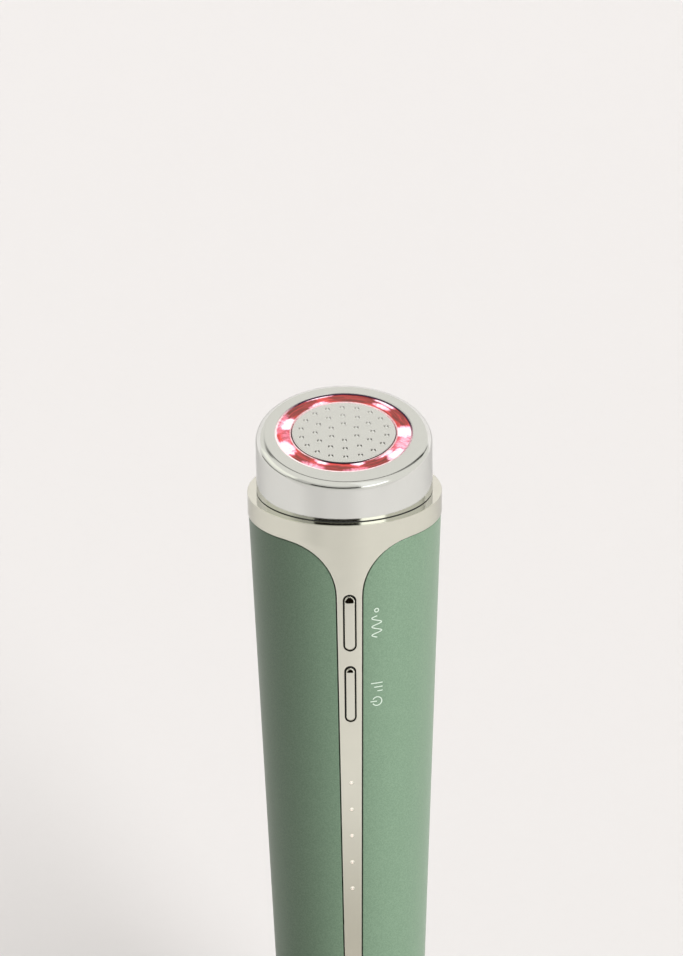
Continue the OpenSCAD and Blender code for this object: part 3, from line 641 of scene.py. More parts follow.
@dataclass(frozen=True)
class BoardMask(Finish):
    """Solder mask over copper tracks."""

    pads: float = 420.0
    gap: float = 0.06

    def paint(self, graph: Graph) -> None:
        """Square patches that read as tracks and pads."""
        bricks = graph.add("ShaderNodeTexBrick", {
            "Scale": self.pads, "Mortar Size": self.gap, "Vector": graph.place()}).outputs["Fac"]
        cloud = graph.noise(700.0, 2.0)
        tracks = graph.blend(bricks, self.colour, self.shade)
        graph.set(
            Base_Color=graph.blend(graph.span(cloud, 0.0, 0.35), tracks, self.colour),
            Roughness=graph.span(cloud, 0.3, 0.42),
            Normal=graph.bump(bricks, 0.00002, 0.5),
        )


@dataclass(frozen=True)
class Wound(Finish):
    """Enamelled wire in close turns."""

    pitch: float = 0.0004

    def paint(self, graph: Graph) -> None:
        """Turns as fine waves, brighter on their crowns."""
        wave = graph.add("ShaderNodeTexWave", {
            "Scale": 0.31 / self.pitch, "Distortion": 0.4, "Vector": graph.place(),
        }, bands_direction="Z").outputs["Fac"]
        graph.set(
            Base_Color=graph.blend(wave, self.shade, self.colour),
            Metallic=0.9,
            Roughness=graph.span(wave, 0.45, 0.28),
            Normal=graph.bump(wave, 0.0001, 0.8),
        )


@dataclass(frozen=True)
class Wrapped(Finish):
    """Shrunk sleeve: glossy, with slow creases."""

    crease: float = 160.0
    coat: Point = (0.3, 0.1)

    def paint(self, graph: Graph) -> None:
        """Gloss over slow creases and a slight haze."""
        crease = graph.noise(self.crease, 2.0, 0.4, graph.stretched((1.0, 1.0, 0.3)))
        graph.set(
            Base_Color=graph.blend(crease, self.colour, self.shade),
            Roughness=graph.span(crease, self.roughness - 0.04, self.roughness + 0.06),
            Coat_Weight=self.coat[0],
            Coat_Roughness=self.coat[1],
            Normal=graph.bump(crease, 0.00004, 0.4),
        )


class Finishes:
    """Every finish of the wand."""

    LACQUER = Lacquer("sage_lacquer", (0.085, 0.136, 0.09), (0.117, 0.178, 0.12), 0.42)
    TRIM = Plated("trim_plating", (0.785, 0.784, 0.685), (0.745, 0.744, 0.655), 0.055,
                  grain=2600.0, depth=0.000003, pull=(1.0, 1.0, 0.06))
    HEAD = Plated("head_plating", (0.818, 0.832, 0.80), (0.788, 0.802, 0.775), 0.13,
                  depth=0.000003, pull=(1.0, 1.0, 0.2))
    KEY = Plated("key_plating", (0.78, 0.78, 0.69), (0.74, 0.74, 0.66), 0.06,
                 grain=2600.0, depth=0.000002)
    DISC = Plated("disc_satin", (0.86, 0.87, 0.84), (0.83, 0.84, 0.81), 0.22,
                  grain=7000.0, depth=0.000004)
    # The bumps' dark dots are painted reflections.
    BUMP = PaintedReflectionPlating("bump_polish", (0.88, 0.89, 0.86), (0.85, 0.86, 0.83), 0.3,
                         grain=2600.0, depth=0.000002)
    # The ring's glow is the lamps' light painted on: hot places are painted light, dim places
    # painted shade.
    LENS = LitRing(
        "lit_ring", (0.80, 0.088, 0.078), (0.10, 0.01, 0.012), 0.12, depth=0.00004,
        hot=(Glint(-157, 0.72, 9.0, 0.42, 1.35), Glint(-116, 0.12, 6.0, 0.20, 1.2),
             Glint(-121, 0.80, 9.0, 0.28, 0.55), Glint(-77, 0.14, 5.5, 0.20, 1.2),
             Glint(-82, 0.84, 9.0, 0.22, 0.42), Glint(-39, 0.74, 7.5, 0.32, 1.3),
             Glint(-20, 0.66, 12.0, 0.44, 0.55), Glint(-44, 0.20, 10.0, 0.11, 0.8),
             Glint(-0.5, 0.42, 6.8, 0.52, 1.45), Glint(48, 0.86, 9.0, 0.13, 1.2),
             Glint(48, 0.44, 8.5, 0.16, 1.0), Glint(111, 0.93, 12.0, 0.12, 1.1),
             Glint(114, 0.26, 9.0, 0.14, 0.95), Glint(162, 0.26, 8.5, 0.34, 1.3),
             Glint(163, 0.80, 12.0, 0.28, 0.42), Glint(-176, 0.30, 9.0, 0.30, 0.35),
             Glint(-172, 0.98, 20.0, 0.08, 0.5)),
        dim=(Glint(-97, 0.66, 11.0, 0.34, 1.5), Glint(-60, 0.50, 11.0, 0.45, 1.3),
             Glint(-137, 0.45, 7.5, 0.40, 1.0), Glint(24, 0.62, 12.0, 0.32, 1.5),
             Glint(78, 0.62, 18.0, 0.36, 1.5), Glint(133, 0.60, 15.0, 0.38, 1.5)))
    # Dark rings that paint the shade in the gaps beside the lit ring, with painted highlights of
    # the lamps' light on their rims.
    CUP_SHADE_RING = LitRing(
        "cup_shade_ring", (0.03, 0.01, 0.025), (0.02, 0.006, 0.02), 0.25,
        deep=(0.012, 0.004, 0.012), maroon=(0.008, 0.003, 0.008), pink=(0.62, 0.30, 0.34),
        white=(1.15, 0.92, 0.90),
        hot=(Glint(-112, 0.5, 52.0, 2.0, 1.2), Glint(-170, 0.5, 40.0, 2.0, 1.0),
             Glint(-25, 0.5, 24.0, 2.0, 0.5)))
    DISC_SHADE_RING = LitRing(
        "disc_shade_ring", (0.012, 0.004, 0.008), (0.008, 0.003, 0.006), 0.5,
        deep=(0.008, 0.003, 0.006), maroon=(0.006, 0.002, 0.005), pink=(0.62, 0.26, 0.27),
        white=(0.98, 0.74, 0.74),
        hot=(Glint(88, 0.5, 62.0, 2.0, 1.1), Glint(-176, 1.05, 24.0, 0.45, 1.0),
             Glint(-144, 1.1, 22.0, 0.40, 0.9), Glint(-14, 1.0, 26.0, 0.55, 0.8),
             Glint(-50, 1.15, 18.0, 0.35, 0.7)))
    LAMP = Glow("lamp_dome", (1.0, 0.86, 0.95), (1.0, 0.45, 0.62), 0.3, strength=6.0)
    LAMP_BODY = Finish("lamp_body", (0.86, 0.80, 0.80), (0.80, 0.72, 0.72), 0.45)
    PIN = LitPlug("light_pin", (0.77, 0.77, 0.675), (0.73, 0.73, 0.645), 0.07,
                  grain=2600.0, depth=0.000002)
    ICON = Print("white_ink", (0.47, 0.55, 0.48), (0.56, 0.63, 0.56), 0.6)
    DARK_PLASTIC = Finish("dark_moulding", (0.035, 0.038, 0.042), (0.05, 0.053, 0.058), 0.55)
    WHITE_PLASTIC = Finish("white_moulding", (0.80, 0.79, 0.76), (0.72, 0.71, 0.69), 0.48)
    RUBBER = Finish("black_rubber", (0.02, 0.02, 0.021), (0.032, 0.032, 0.034), 0.72,
                    grain=1800.0, depth=0.00002)
    PAD = Finish("grey_pad", (0.13, 0.135, 0.14), (0.17, 0.175, 0.18), 0.8,
                 grain=1500.0, depth=0.00003)
    FOAM = Finish("black_foam", (0.03, 0.03, 0.03), (0.06, 0.06, 0.062), 0.95,
                  grain=1200.0, depth=0.0002)
    RESIN = Finish("black_resin", (0.02, 0.02, 0.021), (0.035, 0.035, 0.036), 0.42)
    FERRITE = Finish("ferrite", (0.09, 0.095, 0.10), (0.13, 0.135, 0.14), 0.6,
                     grain=1400.0, depth=0.00004)
    BOARD = BoardMask("green_mask", (0.018, 0.10, 0.045), (0.05, 0.20, 0.09))
    LAMP_BOARD = BoardMask("white_mask", (0.80, 0.79, 0.76), (0.68, 0.67, 0.63))
    STEEL = Plated("zinc_steel", (0.62, 0.63, 0.64), (0.52, 0.53, 0.54), 0.26)
    BRASS = Plated("gold_leaf", (0.85, 0.66, 0.32), (0.78, 0.58, 0.26), 0.2)
    HEAVY = Plated("sintered_weight", (0.42, 0.40, 0.38), (0.30, 0.29, 0.28), 0.45,
                   grain=1500.0, depth=0.00004)
    COPPER = Wound("copper_winding", (0.72, 0.32, 0.12), (0.35, 0.12, 0.04))
    BLUE_SLEEVE = Wrapped("blue_sleeve", (0.04, 0.08, 0.27), (0.06, 0.11, 0.34), 0.3)
    CELL_WRAP = Wrapped("cell_wrap", (0.20, 0.36, 0.55), (0.26, 0.43, 0.62), 0.3)
    RED_WIRE = Wrapped("red_wire", (0.50, 0.03, 0.025), (0.60, 0.06, 0.05), 0.45)
    WHITE_WIRE = Wrapped("white_wire", (0.76, 0.76, 0.74), (0.66, 0.66, 0.64), 0.45)
    BLUE_WIRE = Wrapped("blue_wire", (0.04, 0.10, 0.45), (0.06, 0.14, 0.55), 0.45)
    FILM = Wrapped("amber_film", (0.58, 0.34, 0.08), (0.70, 0.45, 0.14), 0.35)
    INDICATOR = Glow("indicator_lamp", (1.0, 0.9, 0.9), (0.9, 0.8, 0.8), 0.3, strength=2.0)


# ---------------------------------------------------------------- forms


def spread(low: float, high: float, steps: int) -> list[float]:
    """Evenly spaced numbers from low to high, both included."""
    return [low + (high - low) * i / steps for i in range(steps + 1)]


def mix(a: float, b: float, share: float) -> float:
    """A number between two others."""
    return a + (b - a) * share


def rounded(corners: Sequence[Triple], steps: int = 5, closed: bool = True) -> list[Point]:
    """Rounds the corners of a flat outline.

    Args:
        corners: X, Y and radius of each corner.
        steps: number of pieces in each rounding.
        closed: whether the last corner is joined to the first.

    Returns:
        The points of the rounded outline.
    """
    points: list[Point] = []
    count = len(corners)
    for i, (x, y, radius) in enumerate(corners):
        here = Vector((x, y))
        if radius <= 0 or (not closed and i in (0, count - 1)):
            points.append((x, y))
            continue
        back = (Vector(corners[i - 1][:2]) - here).normalized()
        on = (Vector(corners[(i + 1) % count][:2]) - here).normalized()
        half = back.angle(on) / 2
        reach = radius / tan(half)
        middle = here + (back + on).normalized() * (radius / sin(half))
        start, end = here + back * reach - middle, here + on * reach - middle
        turn = start.angle_signed(end)
        for k in range(steps + 1):
            spoke = start.copy()
            spoke.rotate(Matrix.Rotation(-turn * k / steps, 2))
            points.append(tuple(middle + spoke))
    return points


class Form:
    """A mesh in the making, in millimetres."""

    def __init__(self) -> None:
        """Starts with nothing."""
        self.bm = bmesh.new()

    @classmethod
    def laid(cls, columns: Sequence[float], rows: Sequence[float],
             place: Callable[[float, float], Vector]) -> "Form":
        """Lays a grid on a surface.

        Args:
            columns: values across the grid.
            rows: values along the grid.
            place: gives the point for a column's and a row's value.

        Returns:
            The form.
        """
        form = cls()
        across, along = len(columns) - 1, len(rows) - 1
        bmesh.ops.create_grid(form.bm, x_segments=across, y_segments=along, size=1.0)
        for vert in form.bm.verts:
            column = round((vert.co.x + 1) / 2 * across)
            row = round((vert.co.y + 1) / 2 * along)
            vert.co = place(columns[column], rows[row])
        return form

    @classmethod
    def turned(cls, profile: Sequence[Point], steps: int, closed: bool = True) -> "Form":
        """Turns a profile of radius and height about Z.

        Args:
            profile: the profile's points.
            steps: number of pieces in a full turn.
            closed: whether the profile's last point is joined to its first.

        Returns:
            The form.
        """
        form = cls()
        verts = [form.bm.verts.new((r, 0.0, z)) for r, z in profile]
        pairs = list(zip(verts, verts[1:])) + ([(verts[-1], verts[0])] if closed else [])
        edges = [form.bm.edges.new(pair) for pair in pairs]
        bmesh.ops.spin(form.bm, geom=verts + edges, cent=(0, 0, 0), axis=(0, 0, 1),
                       dvec=(0, 0, 0), angle=tau, steps=steps, use_merge=True,
                       use_normal_flip=False, use_duplicate=False)
        form.weld()
        return form

    @classmethod
    def pill(cls, width: float, length: float, height: float, steps: int = 40) -> "Form":
        """A flat-ended bar with a pill outline, its top at zero height.

        Args:
            width: width of the pill.
            length: length of the pill along Y.
            height: height of the bar.
            steps: number of pieces in its outline's round ends.

        Returns:
            The form.
        """
        form = cls()
        bmesh.ops.create_circle(form.bm, cap_ends=True, segments=steps, radius=width / 2,
                                matrix=Matrix.Rotation(pi / steps, 4, "Z"))
        for vert in form.bm.verts:
            vert.co.y += copysign((length - width) / 2, vert.co.y)
        raised = bmesh.ops.extrude_face_region(form.bm, geom=list(form.bm.faces))
        moved = [g for g in raised["geom"] if isinstance(g, bmesh.types.BMVert)]
        bmesh.ops.translate(form.bm, verts=moved, vec=(0, 0, -height))
        bmesh.ops.recalc_face_normals(form.bm, faces=form.bm.faces)
        return form

    @classmethod
    def block(cls, size: Sequence[float], centre: Sequence[float]) -> "Form":
        """A block of a size about a centre."""
        form = cls()
        matrix = Matrix.Translation(centre) @ Matrix.Diagonal((*size, 1.0))
        bmesh.ops.create_cube(form.bm, size=1.0, matrix=matrix)
        return form

    @classmethod
    def band(cls, radii: Point, heights: Point, edge: float, steps: int) -> "Form":
        """A ring of rectangular section with rounded upper edges."""
        (inner, outer), (low, high) = radii, heights
        return cls.turned(rounded([(inner, high, edge), (outer, high, edge), (outer, low, 0.0),
                                   (inner, low, 0.0)], 2), steps)

    def weld(self, reach: float = 0.0005) -> "Form":
        """Joins points that lie on each other and turns all faces outwards."""
        bmesh.ops.remove_doubles(self.bm, verts=self.bm.verts, dist=reach)
        bmesh.ops.recalc_face_normals(self.bm, faces=self.bm.faces)
        return self

    def put(self, matrix: Matrix) -> "Form":
        """Moves the whole form."""
        bmesh.ops.transform(self.bm, matrix=matrix, verts=self.bm.verts)
        return self

    def join(self, other: "Form") -> "Form":
        """Takes in another form, and empties that one."""
        mesh = bpy.data.meshes.new("carry")
        other.bm.to_mesh(mesh)
        other.bm.free()
        self.bm.from_mesh(mesh)
        bpy.data.meshes.remove(mesh)
        return self

    @classmethod
    def joined(cls, forms: Iterable["Form"]) -> "Form":
        """One form made of several, which it empties."""
        whole = cls()
        for form in forms:
            whole.join(form)
        return whole

    def outwards(self, hint: Callable[[Vector], Vector]) -> "Form":
        """Turns an open sheet's faces to the side that a hint points to."""
        score = sum(f.normal.dot(hint(f.calc_center_median())) * f.calc_area()
                    for f in self.bm.faces)
        if score < 0:
            bmesh.ops.reverse_faces(self.bm, faces=self.bm.faces)
        return self

    def thicken(self, inner: Callable[[Vector], Vector]) -> "Form":
        """Closes an open sheet into a wall, by a rule for its inner side."""
        made = bmesh.ops.extrude_face_region(self.bm, geom=list(self.bm.faces), use_keep_orig=True)
        for item in made["geom"]:
            if isinstance(item, bmesh.types.BMVert):
                item.co = inner(item.co)
        return self.weld()

    def sharp(self, angle: float, keep: Test | None = None) -> list[bmesh.types.BMEdge]:
        """Edges whose faces meet at more than an angle in degrees, and that pass a test."""
        limit = radians(angle)
        return [e for e in self.bm.edges
                if len(e.link_faces) == 2 and e.calc_face_angle(0) > limit
                and (keep is None or keep(e))]

    def round_off(self, edges: Sequence[bmesh.types.BMEdge], width: float, segments: int) -> "Form":
        """Rounds some edges."""
        bmesh.ops.bevel(self.bm, geom=edges, offset=width, offset_type="OFFSET",
                        segments=segments, profile=0.5, affect="EDGES", material=-1,
                        clamp_overlap=True)
        return self

    def soften(self, width: float, segments: int = 2, angle: float = 40.0,
               keep: Test | None = None) -> "Form":
        """Rounds the edges that are sharper than an angle in degrees and pass a test."""
        return self.round_off(self.sharp(angle, keep), width, segments)

    def map_flat(self, layer: str, read: Read) -> "Form":
        """Writes a flat map from each point's place, unwrapped within each face."""
        flat = self.bm.loops.layers.uv.new(layer)
        for face in self.bm.faces:
            middle = read(face.calc_center_median())[0]
            for loop in face.loops:
                u, v = read(loop.vert.co)
                u += round(middle - u)
                loop[flat].uv = (u, v)
        return self

    def as_object(self, name: str, finish: Finish) -> bpy.types.Object:
        """Ends the form as a smooth object of the scene, in metres."""
        bmesh.ops.scale(self.bm, vec=(MM, MM, MM), verts=self.bm.verts)
        mesh = bpy.data.meshes.new(name)
        self.bm.to_mesh(mesh)
        self.bm.free()
        mesh.shade_smooth()
        mesh.materials.append(finish.material())
        made = bpy.data.objects.new(name, mesh)
        bpy.context.scene.collection.objects.link(made)
        return made

    def finish(self, name: str, finish: Finish, slot: str, body: Body = Body.HOUSING,
               replaces: Iterable[str] = (), crease: float = 32.0) -> None:
        """Ends the form as a piece of the wand.

        Args:
            name: the piece's name.
            finish: its finish.
            slot: the record's material slot that the finish belongs to; not used.
            body: the body that it moves with.
            replaces: the frame's nodes that it stands for.
            crease: angle in degrees above which an edge is shaded sharp.
        """
        piece = self.as_object(name, finish)
        piece.data.set_sharp_from_angle(angle=radians(crease))
        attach(piece, body.value)
        if replaces:
            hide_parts(*replaces)
        LOG.info("piece %s: %d faces, body %s", name, len(piece.data.polygons), body.value)


# ---------------------------------------------------------------- sub-assemblies


@dataclass
class ColouredSleeve:
    """The lacquered body with its front slot, and the printed key signs."""

    sizes: WandSizes
    wall: float = 1.6
    edge: float = 0.1
    columns: int = 128
    rows: int = 20
    edge_steps: tuple[float, ...] = (0.0, 0.3, 0.9)
    flare_rises: tuple[float, ...] = (0.08, 0.17, 0.25, 0.34, 0.42, 0.5, 0.58, 0.66, 0.75,
                                      0.86, 1.0)
    sign_lift: float = 0.02
    sign_line: float = 0.22
    pulse: Point = (5.8, 26.6)
    pulse_size: Point = (1.05, 5.0)
    pulse_waves: float = 2.5
    dot_rise: float = 6.35
    dot_r: float = 0.42
    power: Point = (5.75, 41.9)
    power_r: float = 1.02
    stroke: Point = (-1.35, -0.15)
    bar_x: float = 1.1
    bar_rise: float = 2.45
    bar_step: float = 0.95
    bar_sizes: tuple[float, ...] = (0.9, 1.6, 2.3)

    def build(self) -> None:
        """Builds the sleeve and its signs."""
        self.sleeve()
        self.signs()

    def sleeve(self) -> None:
        """The tapered sleeve, whose slot follows the trim's edge."""
        sizes = self.sizes
        near = self.edge_steps
        rises = spread(-1.0, 0.0, self.rows) + [*self.flare_rises]

        def place(column: int, rise: float) -> Vector:
            """Point on the cone between the slot's two edges."""
            x, z = sizes.edge_point(rise, sizes.groove)
            r = sizes.body_r(z)
            start = asin(x / r)
            if column < len(near):
                turn = start + near[column] / r
            elif column > self.columns - len(near):
                turn = tau - start - near[self.columns - column] / r
            else:
                first = start + near[-1] / r
                share = (column - len(near) + 1) / (self.columns - 2 * len(near) + 2)
                turn = mix(first, tau - first, share)
            return around(r, turn, z)

        form = Form.laid(range(self.columns + 1), rises, place)
        form.outwards(level_part)
        form.thicken(lambda p: p - level_part(p).normalized() * self.wall)
        form.soften(self.edge, 2, 50.0)
        form.finish("body_sleeve", Finishes.LACQUER, "green_paint", replaces=["shell"])

    def line(self, points: Sequence[Point], closed: bool = False) -> Form:
        """A printed line on the body.

        Args:
            points: sideways places and heights of its middle.
            closed: whether it comes back to its start.

        Returns:
            The line as a thin form that hugs the body.
        """
        half = self.sign_line / 2
        middles = [Vector(point) for point in points]
        ways = [(on - here).normalized() for here, on in zip(middles, middles[1:] + middles[:1])]
        if not closed:
            ways[-1] = ways[-2]
        sides: list[tuple[Vector, Vector]] = []
        for i, (here, on) in enumerate(zip(middles, ways)):
            back = ways[i - 1] if closed or i else on
            along = (back + on).normalized()
            normal = Vector((-along.y, along.x)) * half
            normal /= max(0.5, sqrt((1 + back.dot(on)) / 2))
            if not closed and i in (0, len(middles) - 1):
                here = here + along * (half if i else -half)
            sides.append((here - normal, here + normal))
        if closed:
            sides.append(sides[0])

        def place(column: float, row: int) -> Vector:
            """Point of the line's left or right side on the body."""
            x, z = sides[row][0].lerp(sides[row][1], column)
            return self.sizes.on_body(x, z, self.sign_lift)

        form = Form.laid([0.0, 0.5, 1.0], range(len(sides)), place)
        if closed:
            form.weld()
        return form.outwards(level_part)

    def arc(self, x: float, z: float, radius: float, start: float, end: float,
            steps: int = 36) -> list[Point]:
        """Points of a round line on the body, by angles in degrees from straight up."""
        return [(x + radius * sin(radians(a)), z + radius * cos(radians(a)))
                for a in spread(start, end, steps)]

    def signs(self) -> None:
        """A pulse sign beside the mode key, and power with rising bars beside the other."""
        x, z = self.pulse[0], self.sizes.seam_z - self.pulse[1]
        width, height = self.pulse_size
        mode = self.line([(x - width * sin(t * tau * self.pulse_waves), z + height * t)
                          for t in spread(0, 1, 60)])
        mode.join(self.line(self.arc(x, z + self.dot_rise, self.dot_r, 0, 350, 24), closed=True))
        mode.finish("mode_sign", Finishes.ICON, "white_plastic")
        x, z = self.power[0], self.sizes.seam_z - self.power[1]
        power = self.line(self.arc(x, z, self.power_r, -55, 235, 40))
        power.join(self.line([(x + end, z) for end in self.stroke]))
        for step, size in enumerate(self.bar_sizes):
            level = z + self.bar_rise + self.bar_step * step
            power.join(self.line([(x + end, level)
                                  for end in spread(self.bar_x, self.bar_x - size, 5)]))
        power.finish("power_sign", Finishes.ICON, "white_plastic")


@dataclass
class BrightTrim:
    """The front strip, its flare and the collar, drawn from one sheet."""

    sizes: WandSizes
    wall: float = 1.8
    flange_t: float = 1.5
    collar_edge: float = 0.14
    collar_rows: tuple[float, ...] = (0.6, 1.4, 0.15, 1.6)
    bore_r: float = 15.85
    plate_in: float = 0.5
    face_depth: float = 0.3
    hole_room: float = 0.1
    edge: float = 0.16
    inner_columns: int = 12
    side_step: float = 0.34
    row_l: float = 4.0
    panel_reach: float = 0.8
    light_r: float = 0.55
    light_reach: float = 1.5
    flare_turns: tuple[float, ...] = (14, 21, 28, 35, 42, 49, 56, 63, 70, 78, 90)
    rear_columns: int = 96
    low_room: float = 0.2

    def build(self) -> None:
        """Builds the trim."""
        sizes = self.sizes
        form = Form.joined([*(self.plain(*zone) for zone in self.strip_zones()),
                            *(self.key_panel(drop) for drop in sizes.key_drops),
                            *(self.light_panel(drop) for drop in sizes.light_drops),
                            self.flare(), self.collar()])
        form.weld(0.002).outwards(self.outside).thicken(self.inner)
        form.soften(self.edge, 3, 45.0, self.shows)
        form.finish("strip_and_collar", Finishes.TRIM, "polished_trim", replaces=["trim"])

    def inner(self, point: Vector) -> Vector:
        """Point of the inner side behind a point of the outer one."""
        sizes = self.sizes
        r = sizes.strip_r(point.z) - self.wall
        if point.z < sizes.collar_z - HAIR:
            return in_front(r, point.x, point.z)
        flat = Vector((point.x, point.y))
        flat *= min(1.0, r / flat.length)
        return Vector((*flat, min(point.z, sizes.seam_z - self.flange_t)))

    def outside(self, point: Vector) -> Vector:
        """Direction that faces outwards at a point of the trim."""
        on_top = point.z > self.sizes.seam_z - self.face_depth
        plate_r = self.sizes.strip_r(point.z) - self.plate_in
        if on_top and hypot(point.x, point.y) < plate_r:
            return Vector((0, 0, 1))
        return level_part(point)

    def shows(self, edge: bmesh.types.BMEdge) -> bool:
        """Whether an edge lies on the outer face, away from the lights' holes."""
        sizes, middle = self.sizes, (edge.verts[0].co + edge.verts[1].co) / 2
        if any(hypot(middle.x, middle.z - sizes.seam_z + drop) < self.light_r + self.hole_room
               for drop in sizes.light_drops):
            return False
        return all(hypot(v.co.x, v.co.y) > sizes.strip_r(v.co.z) - self.face_depth
                   for v in edge.verts)

    def columns(self, half_w: float) -> list[float]:
        """Sideways places of the points across the strip."""
        step = min(self.side_step, half_w * 0.3)
        inner = spread(-half_w + step, half_w - step, self.inner_columns)
        return [-half_w, *inner, half_w]

    @property
    def order(self) -> range:
        """Indices of the columns."""
        return range(self.inner_columns + 3)

    def key_range(self, drop: float) -> Point:
        """Lower and upper height of a key's panel."""
        middle = self.sizes.seam_z - drop
        reach = self.sizes.key_slot_l / 2 * cos(self.sizes.taper_a) + self.panel_reach
        return middle - reach, middle + reach

    def light_range(self, drop: float) -> Point:
        """Lower and upper height of a light's panel."""
        middle = self.sizes.seam_z - drop
        return middle - self.light_reach, middle + self.light_reach

    def strip_zones(self) -> list[Point]:
        """Heights of the plain pieces between the panels."""
        panels = sorted([self.key_range(d) for d in self.sizes.key_drops]
                        + [self.light_range(d) for d in self.sizes.light_drops])
        starts = [self.sizes.base_h] + [high for _, high in panels[:-1]]
        return list(zip(starts, [low for low, _ in panels]))

    def plain(self, low: float, high: float) -> Form:
        """A plain piece of the strip."""
        steps = max(1, round((high - low) / self.row_l))
        return Form.laid(self.order, spread(low, high, steps), lambda c, z: self.sizes.on_trim(
            self.columns(self.sizes.edge_half_w(z))[c], z))

    def panel(self, low: float, high: float, rim: Callable[[str, float], Point],
              side_steps: int) -> Form:
        """A piece of the strip round a hole.

        Args:
            low: lower height.
            high: upper height.
            rim: the hole's point for a side's name and a share from -1 to 1 along it.
            side_steps: number of pieces along each upright side.

        Returns:
            The pierced piece.
        """
        pairs: list[tuple[Point, Point]] = []

        def level(z: float, name: str, order: Iterable[int]) -> None:
            """Adds the points of the lower or upper side."""
            half = self.sizes.edge_half_w(z)
            for i in order:
                x = self.columns(half)[i]
                pairs.append((rim(name, x / half), (x, z)))

        def upright(name: str, sign: float, order: Iterable[float]) -> None:
            """Adds the points of the left or right side."""
            for share in order:
                z = mix(low, high, (share + 1) / 2)
                pairs.append((rim(name, share), (sign * self.sizes.edge_half_w(z), z)))

        shares = spread(-1, 1, side_steps)
        level(low, "low", self.order[:-1])
        upright("right", 1.0, shares[:-1])
        level(high, "high", self.order[:0:-1])
        upright("left", -1.0, reversed(shares[1:]))
        pairs.append(pairs[0])

        def place(index: int, out: float) -> Vector:
            """Point between the hole's rim and the panel's edge."""
            inner, outer = pairs[index]
            return self.sizes.on_trim(*(mix(a, b, out) for a, b in zip(inner, outer)))

        return Form.laid(range(len(pairs)), [0.0, 0.3, 0.65, 1.0], place).weld()

    def key_panel(self, drop: float) -> Form:
        """The strip round a key's slot, which shows a little more room below the key."""
        low, high = self.key_range(drop)
        middle = self.sizes.seam_z - drop
        radius = self.sizes.strip_half_w(middle) - self.sizes.key_margin
        straight = (self.sizes.key_slot_l / 2 - radius) * cos(self.sizes.taper_a)
        middle -= self.low_room / 2
        straight += self.low_room / 2

        def rim(name: str, share: float) -> Point:
            """Point on the pill's outline."""
            across, along = (radius * sin(share * pi / 2), straight + radius * cos(share * pi / 2))
            if name in ("high", "low"):
                return across, middle + (along if name == "high" else -along)
            return (radius if name == "right" else -radius), middle + straight * share

        return self.panel(low, high, rim, 10)

    def light_panel(self, drop: float) -> Form:
        """The strip round a light's hole."""
        low, high = self.light_range(drop)
        middle = self.sizes.seam_z - drop

        def rim(name: str, share: float) -> Point:
            """Point on the round hole."""
            turn = share * pi / 4
            across, along = self.light_r * sin(turn), self.light_r * cos(turn)
            if name in ("high", "low"):
                return across, middle + (along if name == "high" else -along)
            return (along if name == "right" else -along), middle + across

        return self.panel(low, high, rim, 6)

    def flare(self) -> Form:
        """The strip's flare up to the collar."""
        sizes = self.sizes
        start = self.key_range(sizes.key_drops[0])[1]
        first = asin((start - sizes.flare_z) / sizes.flare_h)
        turns = [first, *(radians(a) for a in self.flare_turns)]

        def place(column: int, turn: float) -> Vector:
            """Point of the flare."""
            half, z = sizes.edge_point(turn * 2 / pi)
            return sizes.on_trim(self.columns(half)[column], z)

        return Form.laid(self.order, turns, place)

    def collar(self) -> Form:
        """The collar's band, rounded edge and top."""
        sizes = self.sizes
        r = sizes.strip_r(sizes.collar_z)
        half, _ = sizes.edge_point(1.0)
        front = [asin(x / r) for x in self.columns(half)]
        rear = spread(front[-1], tau + front[0], self.rear_columns)
        turns = front + rear[1:]
        edge, top = self.collar_edge, sizes.seam_z
        low, far, near, inner = self.collar_rows
        profile = [(r, sizes.collar_z), (r, sizes.collar_z + low), (r, top - edge - far),
                   (r, top - edge - near)]
        profile += [(r - edge * (1 - cos(a)), top - edge * (1 - sin(a)))
                    for a in spread(0, pi / 2, 8)]
        profile += [(r - edge - near, top), (r - edge - inner, top), (self.bore_r, top)]
        return Form.laid(turns, range(len(profile)), lambda turn, row: around(
            profile[row][0], turn, profile[row][1])).weld()


